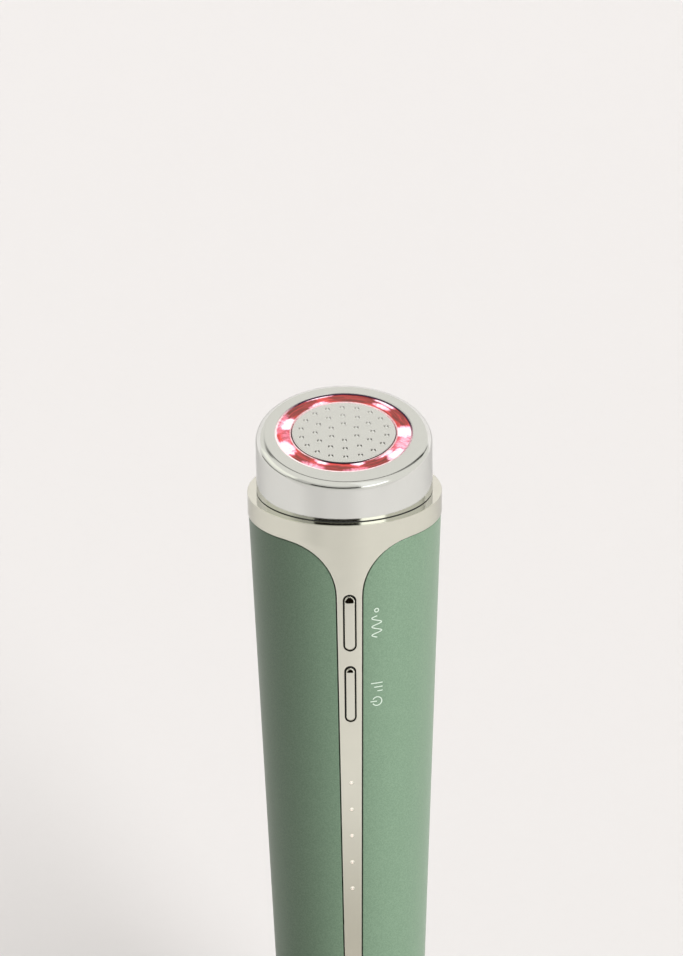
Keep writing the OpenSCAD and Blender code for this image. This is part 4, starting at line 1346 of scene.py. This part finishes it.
@dataclass
class Keys:
    """The two pillow-shaped keys."""

    sizes: WandSizes
    gap: float = 0.34
    cap_depth: float = 0.1
    proud: float = 0.65
    flange_y: float = 2.1
    flange_t: float = 0.8
    stem_h: float = 0.4
    lip: float = 0.7
    shoulder: float = 0.34
    crown: float = 0.06
    crown_ends: float = 0.65
    skirt_in: float = 0.04
    stem: Point = (2.2, 3.4)
    ramps: Point = (1.2, 0.65)
    ramp_rise: float = 0.44
    ramp_bow: float = 0.34
    insets: int = 7
    inset_share: float = 0.92
    ramp_cuts: int = 12
    cut_share: float = 1.15

    def build(self) -> None:
        """Builds both keys."""
        kinds = ((Body.MODE_KEY, "mode_button"), (Body.POWER_KEY, "power_button"))
        for (body, node), drop, ramp in zip(kinds, self.sizes.key_drops, self.ramps):
            self.key(body, node, drop, ramp)

    def key(self, body: Body, node: str, drop: float, ramp: float) -> None:
        """One key: a crowned bright cap on a dark moulded skirt with lip and stem, whose dark
        colour also stands in for the shade in the gap round the cap.

        Args:
            body: the body that it moves with, whose name its pieces bear.
            node: the frame's node that it replaces.
            drop: distance of its middle below the seam.
            ramp: length of the slope at its upper end.
        """
        sizes = self.sizes
        width = 2 * (sizes.strip_half_w(sizes.seam_z - drop) - sizes.key_margin) - 2 * self.gap
        length = sizes.key_slot_l - 2 * self.gap
        form = Form.pill(width, length, self.proud + self.cap_depth, 64)
        top = [e for e in form.sharp(60.0) if all(v.co.z > -HAIR for v in e.verts)]
        form.round_off(top, self.shoulder, 8)
        half_l, half_w = length / 2, width / 2
        face = [f for f in form.bm.faces if f.normal.z > 0.99 and len(f.verts) > 8]
        step = (half_w - self.shoulder) * self.inset_share / self.insets
        for _ in range(self.insets):
            bmesh.ops.inset_region(form.bm, faces=face, thickness=step, depth=0.0,
                                   use_even_offset=True, use_boundary=True)
        ramp_top = half_l - self.shoulder
        for y in spread(ramp_top - ramp * self.cut_share, ramp_top, self.ramp_cuts):
            bmesh.ops.bisect_plane(form.bm, geom=form.bm.verts[:] + form.bm.edges[:]
                                   + form.bm.faces[:], plane_co=(0, y, 0), plane_no=(0, 1, 0))
        for vert in form.bm.verts:
            if vert.co.z > -self.shoulder:
                along = min(1.0, abs(vert.co.y) / half_l)
                across = min(1.0, abs(vert.co.x) / half_w)
                vert.co.z -= self.crown * mix(across ** 2, along ** 6, self.crown_ends)
                reach = ramp * (1.0 - self.ramp_bow * across ** 4)
                slope = max(0.0, vert.co.y - (ramp_top - reach))
                vert.co.z -= min(slope, reach) * self.ramp_rise
        face_frame = sizes.strip_frame(drop)
        form.put(face_frame @ Matrix.Translation((0, 0, self.proud)))
        form.finish(f"{body.value}_cap", Finishes.KEY, "key_chrome", body, [node])
        # The skirt is dark moulding that also stands in for the shade in the gap round the cap.
        skirt = Form()
        depth = self.cap_depth
        for grow, height, steps in ((-self.skirt_in, self.flange_y - self.cap_depth, 64),
                                    (2 * self.lip, self.flange_t, 48)):
            level = Form.pill(width + grow, length + grow, height, steps)
            skirt.join(level.put(Matrix.Translation((0, 0, -depth))))
            depth += height
        stem = Form.pill(*self.stem, self.stem_h, 32)
        skirt.join(stem.put(Matrix.Translation((0, 0, -depth)))).put(face_frame)
        skirt.finish(f"{body.value}_skirt", Finishes.DARK_PLASTIC, "dark_plastic", body)


@dataclass
class StripLights:
    """The clear bar behind the strip and its five lit pins."""

    sizes: WandSizes
    pin_r: float = 0.54
    pin_edge: float = 0.05
    pin_root: float = 0.3
    bar_depth: float = 1.95
    bar: Point = (2.2, 31.0)
    bar_t: float = 1.6

    def build(self) -> None:
        """Builds the light bar as one piece."""
        low = -self.bar_depth - self.pin_root
        profile = rounded([(0.0, 0.0, 0.0), (self.pin_r, 0.0, self.pin_edge),
                           (self.pin_r, low, 0.0), (0.0, low, 0.0)], 4)
        frames = [self.sizes.strip_frame(drop) for drop in self.sizes.light_drops]
        form = Form.joined(Form.turned(profile, 28).put(place) for place in frames)
        inverses = [place.inverted() for place in frames]

        def read(p: Vector) -> Point:
            """Place on the nearest pin's end, as shares of its radius."""
            local = min((inverse @ p for inverse in inverses), key=lambda q: q.xy.length)
            return local.x / self.pin_r, local.y / self.pin_r

        bar = Form.block((*self.bar, self.bar_t), (0, 0, -self.bar_depth - self.bar_t / 2))
        form.join(bar.soften(0.2).put(frames[len(frames) // 2]))
        form.map_flat(Finishes.PIN.layer, read)
        form.finish("light_pins", Finishes.PIN, "clear_plastic", replaces=["light_guide"])


@dataclass
class TreatmentHead:
    """Head cup, bumped disc, lit ring with its painted shade rings, trough and lamps."""

    sizes: WandSizes
    shoulder_round: float = 2.0
    cap_wall: float = 1.2
    rim_edge: float = 0.14
    foot_gap: float = 0.16
    foot_edge: float = 0.03
    wall_foot: float = 0.35
    face_rows: Triple = (0.15, 0.55, 0.85)
    wall_rows: Triple = (0.06, 0.5, 1.0)
    seal_in: float = 0.02
    seal_room: float = 0.005
    seal_w: float = 1.1
    disc_t: float = 2.0
    disc_edge: float = 0.26
    stud: Point = (1.5, 8.1)
    # Sizes of the dark rings that paint the shade in the gaps beside the lit ring.
    shade_ring_w: float = 0.42
    shade_ring_share: float = 0.85
    shade_ring_room: float = 0.006
    shade_ring_z: Point = (-0.55, -0.07)
    bump_r: float = 0.65
    bump_h: float = 0.35
    bump_share: float = 0.86
    bump_skirt: float = 0.12
    bump_root: float = 0.15
    bump_pitch: float = 3.1
    bump_rings: int = 3
    lens_recess: float = 0.25
    lens_t: float = 1.8
    lens_flange: Point = (1.0, -1.23)
    joint: float = 0.05
    channel_h: float = 2.1
    channel_wall: float = 0.6
    lamp_count: int = 8
    lamp_phase: float = 10.0
    lamp_size: Triple = (2.0, 2.0, 0.6)
    dome_r: float = 0.92
    steps: int = 144

    def build(self) -> None:
        """Builds the head from the outside in."""
        self.cap()
        self.foot_seal()
        self.disc()
        self.lens()
        self.shade_rings()
        self.trough()
        self.lamps()

    def shoulder(self, turn: float, share: float, inset: float = 0.0) -> Vector:
        """Point of the rounding between face and wall.

        Args:
            turn: angle round the head from its front to the right.
            share: 0 where the rounding leaves the face, 1 where it meets the wall.
            inset: distance inside the surface.

        Returns:
            The point.
        """
        sizes = self.sizes
        radius = self.shoulder_round
        wall_normal = around(1.0, turn, 0.0)
        face_normal = Vector((0, -sin(sizes.head_tilt), cos(sizes.head_tilt)))
        core = wall_normal * (sizes.head_r - radius)
        core.z = (sizes.head_z - radius / cos(sizes.head_tilt) + core.y * tan(sizes.head_tilt))
        return core + face_normal.slerp(wall_normal, share) * (radius - inset)

    def cap(self) -> None:
        """The bright cup: slanted face, rolled shoulder and upright wall."""
        sizes = self.sizes
        outer, hole, edge = sizes.head_r, sizes.ring_r, self.rim_edge
        bottom = sizes.seam_z + self.foot_gap
        opening = [(hole, -self.cap_wall), (hole, -edge * 1.6)]
        opening += [(hole + edge * (1 - cos(a)), -edge * (1 - sin(a)))
                    for a in spread(0, pi / 2, 4)]
        foot = [(outer, bottom + self.foot_edge), (outer - self.foot_edge, bottom),
                (outer - self.cap_wall, bottom)]

        def section(turn: float) -> list[Vector]:
            """The cup's closed section at a turn."""
            lip = [sizes.head_frame @ around(r, turn, z) for r, z in opening]
            roll = [self.shoulder(turn, share) for share in spread(0.0, 1.0, 14)]
            wall_end = around(outer, turn, bottom + self.wall_foot)
            points = lip + [lip[-1].lerp(roll[0], share) for share in self.face_rows] + roll
            points += [roll[-1].lerp(wall_end, share) for share in self.wall_rows]
            points += [around(r, turn, z) for r, z in foot]
            points += [self.shoulder(turn, share, self.cap_wall) for share in spread(1.0, 0.0, 4)]
            return points + points[:1]

        sections = [section(turn) for turn in spread(0, tau, self.steps)]
        form = Form.laid(range(len(sections)), range(len(sections[0])),
                         lambda column, row: sections[column][row]).weld()
        form.finish("head_cup", Finishes.HEAD, "head_chrome", replaces=["head_cap"])

    def foot_seal(self) -> None:
        """The thin dark seal on which the cup stands."""
        outer, seam, room = self.sizes.head_r - self.seal_in, self.sizes.seam_z, self.seal_room
        form = Form.band((outer - self.seal_w, outer), (seam + room, seam + self.foot_gap - room),
                         0.0, self.steps)
        form.finish("cup_foot_seal", Finishes.RUBBER, "black_rubber")

    def disc(self) -> None:
        """The round bumps, and the centre electrode that bears them on its hidden stud."""
        r, edge = self.sizes.electrode_r, self.disc_edge
        stud_r, stud_l = self.stud
        profile = rounded([(0.0, 0.0, 0.0), (r, 0.0, edge), (r, -self.disc_t, 0.15),
                           (stud_r, -self.disc_t, 0.0), (stud_r, -stud_l, 0.3),
                           (0.0, -stud_l, 0.0)], 4)
        profile[1:1] = [(r * share, 0.0) for share in (0.3, 0.6, 0.85)] + [(r - edge - 0.04, 0.0)]
        disc = Form.turned(profile, 120).put(self.sizes.head_frame)
        sphere_r = (self.bump_r ** 2 + self.bump_h ** 2) / (2 * self.bump_h)
        reach = asin(self.bump_r / sphere_r) * self.bump_share
        dome = [(sphere_r * sin(a), self.bump_h - sphere_r * (1 - cos(a)))
                for a in spread(0, reach, 6)]
        dome += [(self.bump_r - 0.01, 0.03), (self.bump_r + self.bump_skirt, -0.012),
                 (self.bump_r, -self.bump_root), (0.0, -self.bump_root)]
        spots = [around(ring * self.bump_pitch, radians(60 * i / ring), 0.0)
                 for ring in range(1, self.bump_rings + 1) for i in range(6 * ring)]
        bumps = Form.joined(Form.turned(dome, 24, closed=False).put(Matrix.Translation(spot))
                            for spot in spots)

        def read(p: Vector) -> Point:
            """Place on the nearest bump, as shares of its radius."""
            middle = min(spots, key=lambda spot: (spot.xy - p.xy).length)
            return (p.x - middle.x) / self.bump_r, (p.y - middle.y) / self.bump_r

        bumps.map_flat(Finishes.BUMP.layer, read).put(self.sizes.head_frame)
        bumps.finish("disc_bumps", Finishes.BUMP, "satin_steel", crease=60.0)
        disc.finish("bumped_disc", Finishes.DISC, "satin_steel", replaces=["centre_electrode"],
                    crease=50.0)

    @staticmethod
    def ring_map(inner: float, outer: float) -> Read:
        """A reading of points as once round a ring, and across it."""
        return lambda p: (atan2(p.y, p.x) / tau, (hypot(p.x, p.y) - inner) / (outer - inner))

    def lens(self) -> None:
        """The lit ring with its clamped flange."""
        inner, outer = self.sizes.electrode_r + 0.1, self.sizes.ring_r - 0.05
        top, bottom = -self.lens_recess, -self.lens_recess - self.lens_t
        flange_r, flange_top = self.sizes.ring_r + self.lens_flange[0], self.lens_flange[1]
        profile = rounded([(inner, top, 0.12), (outer, top, 0.22), (outer, flange_top, 0.0),
                           (flange_r, flange_top, 0.1), (flange_r, bottom, 0.1),
                           (inner, bottom, 0.1)], 4)
        profile[5:5] = [(mix(inner, outer, share), top) for share in (0.3, 0.5, 0.7)]
        form = Form.turned(profile, self.steps)
        form.map_flat(Finishes.LENS.layer, self.ring_map(inner, outer))
        form.put(self.sizes.head_frame)
        form.finish("ring_lens", Finishes.LENS, "red_lens", replaces=["lens_ring"])

    def shade_rings(self) -> None:
        """Thin dark rings between the ring and the disc, and between the ring and the cup: painted
        shade in the gaps, with painted highlights where the lamps' light catches their edges.
        """
        disc_r = self.sizes.electrode_r + self.shade_ring_room
        cup_r = self.sizes.ring_r - self.shade_ring_room
        places = (("disc_shade_ring", disc_r, disc_r + self.shade_ring_w, Finishes.DISC_SHADE_RING),
                  ("cup_shade_ring", cup_r - self.shade_ring_w * self.shade_ring_share, cup_r,
                   Finishes.CUP_SHADE_RING))
        for name, inner, outer, finish in places:
            form = Form.band((inner, outer), self.shade_ring_z, 0.04, self.steps)
            form.map_flat(finish.layer, self.ring_map(inner, outer))
            form.put(self.sizes.head_frame)
            form.finish(name, finish, "dark_plastic")

    @property
    def trough_top(self) -> float:
        """Height of the trough's upper edge in the face's frame."""
        return -self.lens_recess - self.lens_t - self.joint

    def trough(self) -> None:
        """The white trough that gathers the lamps' light."""
        top, wall = self.trough_top, self.channel_wall
        bottom, floor = top - self.channel_h, top - self.channel_h + 0.5
        inner, outer = self.sizes.electrode_r - wall, self.sizes.ring_r + wall
        section = [(inner, top, 0.1), (inner + wall, top, 0.1), (inner + wall + 0.25, floor, 0.7),
                   (outer - wall - 0.25, floor, 0.7), (outer - wall, top, 0.1),
                   (outer, top, 0.1), (outer, bottom, 0.1), (inner, bottom, 0.1)]
        form = Form.turned(rounded(section, 4), self.steps).put(self.sizes.head_frame)
        form.finish("light_trough", Finishes.WHITE_PLASTIC, "white_plastic",
                    replaces=["light_channel"])

    def lamps(self) -> None:
        """Eight lamps: bodies in one piece, lit domes in another."""
        level = self.trough_top - self.channel_h - self.joint
        radius = (self.sizes.ring_r + self.sizes.electrode_r) / 2
        dome = [(self.dome_r * sin(a), 0.62 + 0.3 * cos(a))
                for a in spread(0, pi / 2, 5)] + [(self.dome_r, 0.55)]
        turns = (radians(-90 + self.lamp_phase + 360 * i / self.lamp_count)
                 for i in range(self.lamp_count))
        spots = [self.sizes.head_frame @ Matrix.Rotation(turn, 4, "Z")
                 @ Matrix.Translation((radius, 0, level)) for turn in turns]
        bodies = Form.joined(Form.block(self.lamp_size, (0, 0, self.lamp_size[2] / 2))
                             .soften(0.12).put(spot) for spot in spots)
        bodies.finish("lamp_bodies", Finishes.LAMP_BODY, "red_lamp", replaces=["treatment_lamps"])
        domes = Form.joined(Form.turned(dome, 20, closed=False).put(spot) for spot in spots)
        domes.finish("lamp_domes", Finishes.LAMP, "red_lamp")


@dataclass
class Foot:
    """The bright base cap, its pad and the charging socket."""

    sizes: WandSizes
    proud: float = 0.4
    rim: float = 1.2
    pad_r: float = 12.2
    pad_t: float = 1.1
    socket: Point = (9.0, 3.3)
    socket_depth: float = 7.4
    spigot_r: float = 13.24
    spigot_h: float = 4.0
    spigot_wall: float = 1.4
    plate_z: float = 3.4
    tongue: Triple = (6.6, 0.7, 6.0)
    leaf: Triple = (0.26, 0.05, 3.6)
    leaf_count: int = 12
    leaf_pitch: float = 0.5
    leaf_y: float = 0.36
    leaf_z: float = 3.2
    skin_t: float = 0.3
    mouth_round: float = 0.12

    def build(self) -> None:
        """Builds the foot from the outside in."""
        self.cap()
        self.pad()
        self.port()

    def cap(self) -> None:
        """The rounded rim, with a plate inside that the socket passes through."""
        top, spigot_top = self.sizes.base_h, self.sizes.base_h + self.spigot_h
        inner, plate_r = self.spigot_r - self.spigot_wall, self.pad_r - 1.2
        profile = rounded([(self.pad_r, self.pad_t, 0.1), (self.pad_r, self.proud, 0.15),
                           (self.sizes.strip_r(self.proud), self.proud, self.rim),
                           (self.sizes.strip_r(top), top, 0.12), (self.spigot_r, top, 0.0),
                           (self.spigot_r, spigot_top, 0.3), (inner, spigot_top, 0.3),
                           (inner, self.plate_z, 0.0), (plate_r, self.plate_z, 0.0),
                           (plate_r, self.pad_t, 0.0)], 6)
        plate = self.pierced(0.3, self.pad_r - 1.1, self.pad_t, self.plate_z)
        Form.turned(profile, 128).join(plate).finish(
            "base_rim", Finishes.TRIM, "polished_trim", replaces=["base_cap"])

    def pierced(self, room: float, outer: float, low: float, high: float,
                edge: float = 0.0) -> Form:
        """A round plate with a pill-shaped hole for the socket.

        Args:
            room: width by which the hole is larger than the socket.
            outer: the plate's radius.
            low: height of its underside.
            high: height of its top.
            edge: rounding of its edges.

        Returns:
            The plate.
        """
        flat, end = (self.socket[0] - self.socket[1]) / 2, (self.socket[1] + room) / 2

        def place(turn: float, out: float) -> Vector:
            """Point of the underside between the hole and the rim."""
            x, y = cos(turn), sin(turn)
            inner = Vector((copysign(flat, x) * min(1.0, abs(x) * 4) + end * x, end * y, low))
            return inner.lerp(Vector((outer * x, outer * y, low)), out)

        form = Form.laid(spread(0, tau, 96), [0.0, 0.12, 0.5, 0.9, 1.0], place).weld()
        form.outwards(lambda p: Vector((0, 0, -1)))
        form.thicken(lambda p: Vector((p.x, p.y, high)))
        return form.soften(edge, 3, 50.0) if edge else form

    def pad(self) -> None:
        """The soft pad that the wand stands on."""
        form = self.pierced(1.2, self.pad_r - 0.1, 0.0, self.pad_t, 0.22)
        form.finish("foot_pad_ring", Finishes.PAD, "grey_rubber", replaces=["foot_pad"])

    def port(self) -> None:
        """The charging socket with its tongue and contacts."""
        width, height = self.socket
        flat, end = (width - height) / 2, height / 2
        outline = [Vector((flat + end * sin(a), -end * cos(a))) for a in spread(0, pi, 24)]
        outline += [-p for p in outline]
        low, high = self.proud, self.proud + self.socket_depth
        section = rounded([(0.0, low, self.mouth_round), (0.0, high, 0.0),
                           (self.skin_t, high, 0.0), (self.skin_t, low, self.mouth_round)], 3)

        def place(index: int, row: int) -> Vector:
            """Point of the socket's skin, drawn in by its thickness."""
            point = outline[index % len(outline)]
            inset, z = section[row % len(section)]
            axis = Vector((max(-flat, min(flat, point.x)), 0))
            spoke = (point - axis).normalized()
            return Vector((*(point - spoke * inset), z))

        skin = Form.laid(range(len(outline) + 1), range(len(section) + 1), place).weld()
        skin.finish("port_shell", Finishes.STEEL, "zinc_steel", replaces=["usb_socket"])
        back = Form.block((width - 1.0, height - 0.7, 0.6), (0, 0, high - 0.4))
        tongue = Form.block(self.tongue, (0, 0, high / 2 + 0.6))
        back.join(tongue.soften(0.12)).finish("port_tongue", Finishes.RESIN, "black_resin")
        middle = (self.leaf_count - 1) / 2
        leaves = Form.joined(Form.block(self.leaf, ((i - middle) * self.leaf_pitch, y,
                                                    low + self.leaf_z))
                             for i in range(self.leaf_count) for y in (-self.leaf_y, self.leaf_y))
        leaves.finish("port_contacts", Finishes.BRASS, "brass_leaf")


@dataclass
class InnerWorks:
    """Finishes for the nodes of the frame that stay as they are."""

    nodes: dict[str, bpy.types.Object]
    by_slot: dict[str, Finish] = field(default_factory=lambda: {
        "green_paint": Finishes.LACQUER, "polished_trim": Finishes.TRIM,
        "head_chrome": Finishes.HEAD, "key_chrome": Finishes.KEY,
        "satin_steel": Finishes.DISC, "red_lens": Finishes.LAMP_BODY,
        "white_plastic": Finishes.WHITE_PLASTIC, "lamp_board_mask": Finishes.LAMP_BOARD,
        "red_lamp": Finishes.LAMP_BODY, "dark_plastic": Finishes.DARK_PLASTIC,
        "brass_leaf": Finishes.BRASS, "zinc_steel": Finishes.STEEL,
        "black_resin": Finishes.RESIN, "black_rubber": Finishes.RUBBER,
        "grey_rubber": Finishes.PAD, "green_board": Finishes.BOARD,
        "white_lamp": Finishes.INDICATOR, "clear_plastic": Finishes.PIN,
        "copper_winding": Finishes.COPPER, "ferrite": Finishes.FERRITE,
        "blue_sleeve": Finishes.BLUE_SLEEVE, "battery_wrap": Finishes.CELL_WRAP,
        "black_foam": Finishes.FOAM, "red_wire": Finishes.RED_WIRE,
        "white_wire": Finishes.WHITE_WIRE, "blue_wire": Finishes.BLUE_WIRE,
        "ribbon_film": Finishes.FILM, "sintered_metal": Finishes.HEAVY,
    })

    def build(self, record: dict) -> None:
        """Dresses every node by its slot in the record.

        Args:
            record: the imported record.
        """
        slots = {part["node"]: part["material_slot"] for part in record["subparts"]}
        for name, node in self.nodes.items():
            finish = self.by_slot[slots[name]]
            node.data.materials.clear()
            node.data.materials.append(finish.material())
            LOG.info("node %s: %s", name, finish.name)


# ---------------------------------------------------------------- studio


@dataclass(frozen=True)
class Paper(Finish):
    """The studio floor: matt paper with a painted shadow round the wand's foot, painted shade on
    the left, a painted pool of light at the front right, and darker far in front.

    Each zone has its edges in metres, and a share of the tone at its first edge.
    """

    # Middle and edges of the painted shadow round the wand's foot.
    foot: Point = (0.0, -0.055)
    foot_shadow_edges: Point = (0.065, 0.150)
    front_edges: Point = (-0.34, -0.19)
    front_tone: float = 0.86
    # Painted shade on the left.
    left_shade_edges: Point = (-0.26, -0.13)
    left_shade_tone: float = 0.93
    # A painted pool of light at the front right.
    lit: Point = (0.22, -0.36)
    lit_edges: Point = (0.04, 0.28)
    lit_tone: float = 1.16

    def paint(self, graph: Graph) -> None:
        """Paper whose tone carries painted shade, a painted shadow and a painted pool of light, by
        place on the floor.
        """
        where = graph.split(graph.place())

        def away(spot: Point) -> Socket:
            """Distance from a spot on the floor."""
            off = (graph.maths("SUBTRACT", where[axis], at) for axis, at in zip("XY", spot))
            return graph.maths("SQRT", graph.squares(*off))

        fibre = graph.noise(260.0, 4.0, 0.6)
        tone = graph.span(fibre, 0.985, 1.015)
        # Darker far in front, painted shade on the left and a painted pool of light.
        for value, first, edges in ((where["Y"], self.front_tone, self.front_edges),
                                    (where["X"], self.left_shade_tone, self.left_shade_edges),
                                    (away(self.lit), self.lit_tone, self.lit_edges)):
            tone = graph.times(tone, graph.span(value, first, 1.0, *edges, smooth=True))
        # Painted shadow round the foot, in the paper's second colour.
        near = graph.span(away(self.foot), 0.0, 1.0, *self.foot_shadow_edges, smooth=True)
        graph.set(
            Base_Color=graph.blend(tone, (0.0, 0.0, 0.0),
                                   graph.blend(near, self.shade, self.colour)),
            Roughness=self.roughness,
            Normal=graph.bump(fibre, self.depth, 0.3),
        )


@dataclass(frozen=True)
class Patch:
    """A part of the room as the bright metal sees it, by angles in degrees.

    Turns count round the wand from its front to the right, and rises from level.
    """

    turns: Point
    rises: Point
    light: Colour
    blur: float = 2.0


@dataclass
class Studio:
    """Floor, room, sun-like key light and camera."""

    sizes: WandSizes
    # The paper's second colour is the colour of the painted shadow round the foot.
    paper: Paper = Paper("pale_paper", (0.695, 0.678, 0.682), (0.49, 0.465, 0.448), 0.9)
    floor_front: float = -3200.0
    floor_back: float = 1900.0
    floor_half_w: float = 3600.0
    floor_turn_r: float = 900.0
    wall_h: float = 2200.0
    room: Colour = (0.83, 0.81, 0.765)
    patches: tuple[Patch, ...] = (
        Patch((-75.0, 22.0), (2.0, 42.0), (0.55, 0.54, 0.51), 16.0),
        Patch((-43.0, 18.0), (15.0, 28.5), (0.006, 0.004, 0.002), 1.5),
        Patch((18.5, 52.0), (16.5, 27.5), (1.95, 1.93, 1.86), 1.5),
        Patch((18.5, 52.0), (27.5, 84.0), (1.02, 1.01, 0.98), 5.0),
        Patch((-74.0, -43.0), (15.5, 19.5), (0.05, 0.05, 0.045), 1.5),
        Patch((-122.0, -76.0), (3.0, 10.0), (0.05, 0.05, 0.045), 2.0),
        Patch((110.0, 120.0), (27.0, 66.0), (0.04, 0.04, 0.035), 4.0),
        Patch((-165.0, -143.0), (50.0, 56.0), (0.10, 0.10, 0.09), 2.5),
        Patch((-130.0, -64.0), (24.0, 46.0), (1.04, 1.03, 0.94), 6.0),
    )
    seam_axis: Point = (146.3, 48.0)
    seam_angle: float = 27.8
    seam_half: float = 3.0
    seam_blur: float = 5.0
    seam_dark: float = 0.9
    seam_side: float = 128.0
    seam_side_blur: float = 8.0
    seam_low: float = 50.0
    seam_low_blur: float = 4.0
    key_turn: float = 36.0
    key_rise: float = 28.0
    key_width: float = 35.0
    key_power: float = 3.3
    key_colour: Colour = (1.0, 1.0, 1.0)
    sleeve_turn: float = 48.0
    sleeve_power: float = 10.8
    elevation: float = radians(21.6694)
    roll: float = radians(-0.7303)
    yaw: float = radians(-2.1)
    aim_shift: Point = (0.6600, -2.3941)
    distance: float = 1000.0
    lens: float = 174.66

    def build(self) -> None:
        """Sets the whole studio."""
        self.floor()
        self.walls()
        self.key()
        self.camera()
        scene = bpy.context.scene
        scene.view_settings.view_transform = "Standard"
        scene.view_settings.look = "None"

    def floor(self) -> None:
        """A pale sheet that curves up far behind the wand."""
        path = [(y, 0.0) for y in spread(self.floor_front, self.floor_back, 8)]
        path += [(self.floor_back + self.floor_turn_r * sin(a),
                  self.floor_turn_r * (1 - cos(a))) for a in spread(0, pi / 2, 16)[1:]]
        path += [(self.floor_back + self.floor_turn_r, self.wall_h)]
        form = Form.laid(spread(-self.floor_half_w, self.floor_half_w, 8), range(len(path)),
                         lambda x, row: Vector((x, *path[row])))
        form.outwards(lambda p: Vector((0, -1, 1)))
        sweep = form.as_object("paper_sweep", self.paper)

    @staticmethod
    def heading(turn: float, rise: float) -> Vector:
        """Direction from the wand, by a turn and a rise in degrees."""
        level = radians(rise)
        return around(cos(level), radians(turn), sin(level))

    def walls(self) -> None:
        """A white room with the few dark things that the bright metal shows."""
        world = bpy.data.worlds.new("studio_room")
        world.use_nodes = True
        nodes = Nodes(world.node_tree)
        heading = nodes.add("ShaderNodeTexCoord").outputs["Generated"]
        axes = nodes.split(heading)
        turn = nodes.maths("DEGREES", nodes.maths("ARCTAN2", axes["X"],
                                                  nodes.times(axes["Y"], -1.0)))
        rise = nodes.maths("DEGREES", nodes.maths("ARCSINE", axes["Z"]))
        colour: object = self.room
        for patch in self.patches:
            edges = [edge for value, (low, high) in ((turn, patch.turns), (rise, patch.rises))
                     for edge in (nodes.rise(value, low, patch.blur),
                                  nodes.fall(value, high, patch.blur))]
            colour = nodes.blend(nodes.times(*edges), colour, patch.light)
        off = nodes.maths("DEGREES", nodes.maths("ARCCOSINE", nodes.vectors(
            "DOT_PRODUCT", heading, self.heading(*self.seam_axis), result="Value")))
        away = nodes.maths("ABSOLUTE", nodes.maths("SUBTRACT", off, self.seam_angle))
        line = nodes.fall(away, self.seam_half, self.seam_blur)
        side = nodes.fall(nodes.maths("ABSOLUTE", turn), self.seam_side, self.seam_side_blur)
        shown = nodes.maths("MAXIMUM", side, nodes.rise(rise, self.seam_low, self.seam_low_blur))
        colour = nodes.blend(nodes.times(line, self.seam_dark, shown), colour, (0.0, 0.0, 0.0))
        nodes.feed(nodes.tree.nodes["Background"].inputs["Color"], colour)
        bpy.context.scene.world = world

    def key(self) -> None:
        """A broad, far key light from the front right, stronger on the lacquer."""
        lacquered = bpy.data.objects["body_sleeve"]
        suns = (("key_light", self.key_turn, self.key_power, False, "EXCLUDE"),
                ("sleeve_light", self.sleeve_turn, self.sleeve_power, True, "INCLUDE"))
        for name, around, power, gloss, link in suns:
            lamp = bpy.data.lights.new(name, "SUN")
            lamp.energy = power
            lamp.angle = radians(self.key_width)
            lamp.color = self.key_colour
            hung = bpy.data.objects.new(name, lamp)
            heading = self.heading(around, self.key_rise)
            hung.matrix_world = (Matrix.Translation(heading)
                                 @ heading.to_track_quat("Z", "Y").to_matrix().to_4x4())
            hung.visible_glossy = gloss
            bpy.context.scene.collection.objects.link(hung)
            lit = bpy.data.collections.new(f"{name}_receivers")
            lit.objects.link(lacquered)
            hung.light_linking.receiver_collection = lit
            lit.collection_objects[0].light_linking.link_state = link

    def camera(self) -> None:
        """Sets the camera at its measured place."""
        e = self.elevation
        ahead = Vector((0, cos(e), -sin(e)))
        right = Vector((1, 0, 0))
        up = right.cross(ahead)
        c, s = cos(self.roll), sin(self.roll)
        side, top = right * c + up * s, up * c - right * s
        where = -ahead * self.distance - side * self.aim_shift[0] - top * self.aim_shift[1]
        turn = Matrix.Rotation(self.yaw, 3, "Z")
        where, side, top, ahead = (turn @ v for v in (where, side, top, ahead))
        where.z += self.sizes.seam_z
        data = bpy.data.cameras.new("studio_camera")
        data.sensor_width = 36.0
        data.lens = self.lens
        data.clip_start, data.clip_end = 0.05, 20.0
        camera = bpy.data.objects.new("studio_camera", data)
        camera.matrix_world = framed(side, top, -ahead, where * MM)
        bpy.context.scene.collection.objects.link(camera)
        bpy.context.scene.camera = camera


def main() -> None:
    """Builds the wand's sub-assemblies and the studio."""
    logging.basicConfig(level=logging.INFO, format="%(name)s: %(message)s")
    sizes = WandSizes()
    InnerWorks(frame["nodes"]).build(frame["record"])
    for part in (ColouredSleeve(sizes), BrightTrim(sizes), Keys(sizes), StripLights(sizes),
                 TreatmentHead(sizes), Foot(sizes), Studio(sizes)):
        part.build()
        LOG.info("%s is done", type(part).__name__)


if __name__ == "__main__":
    main()
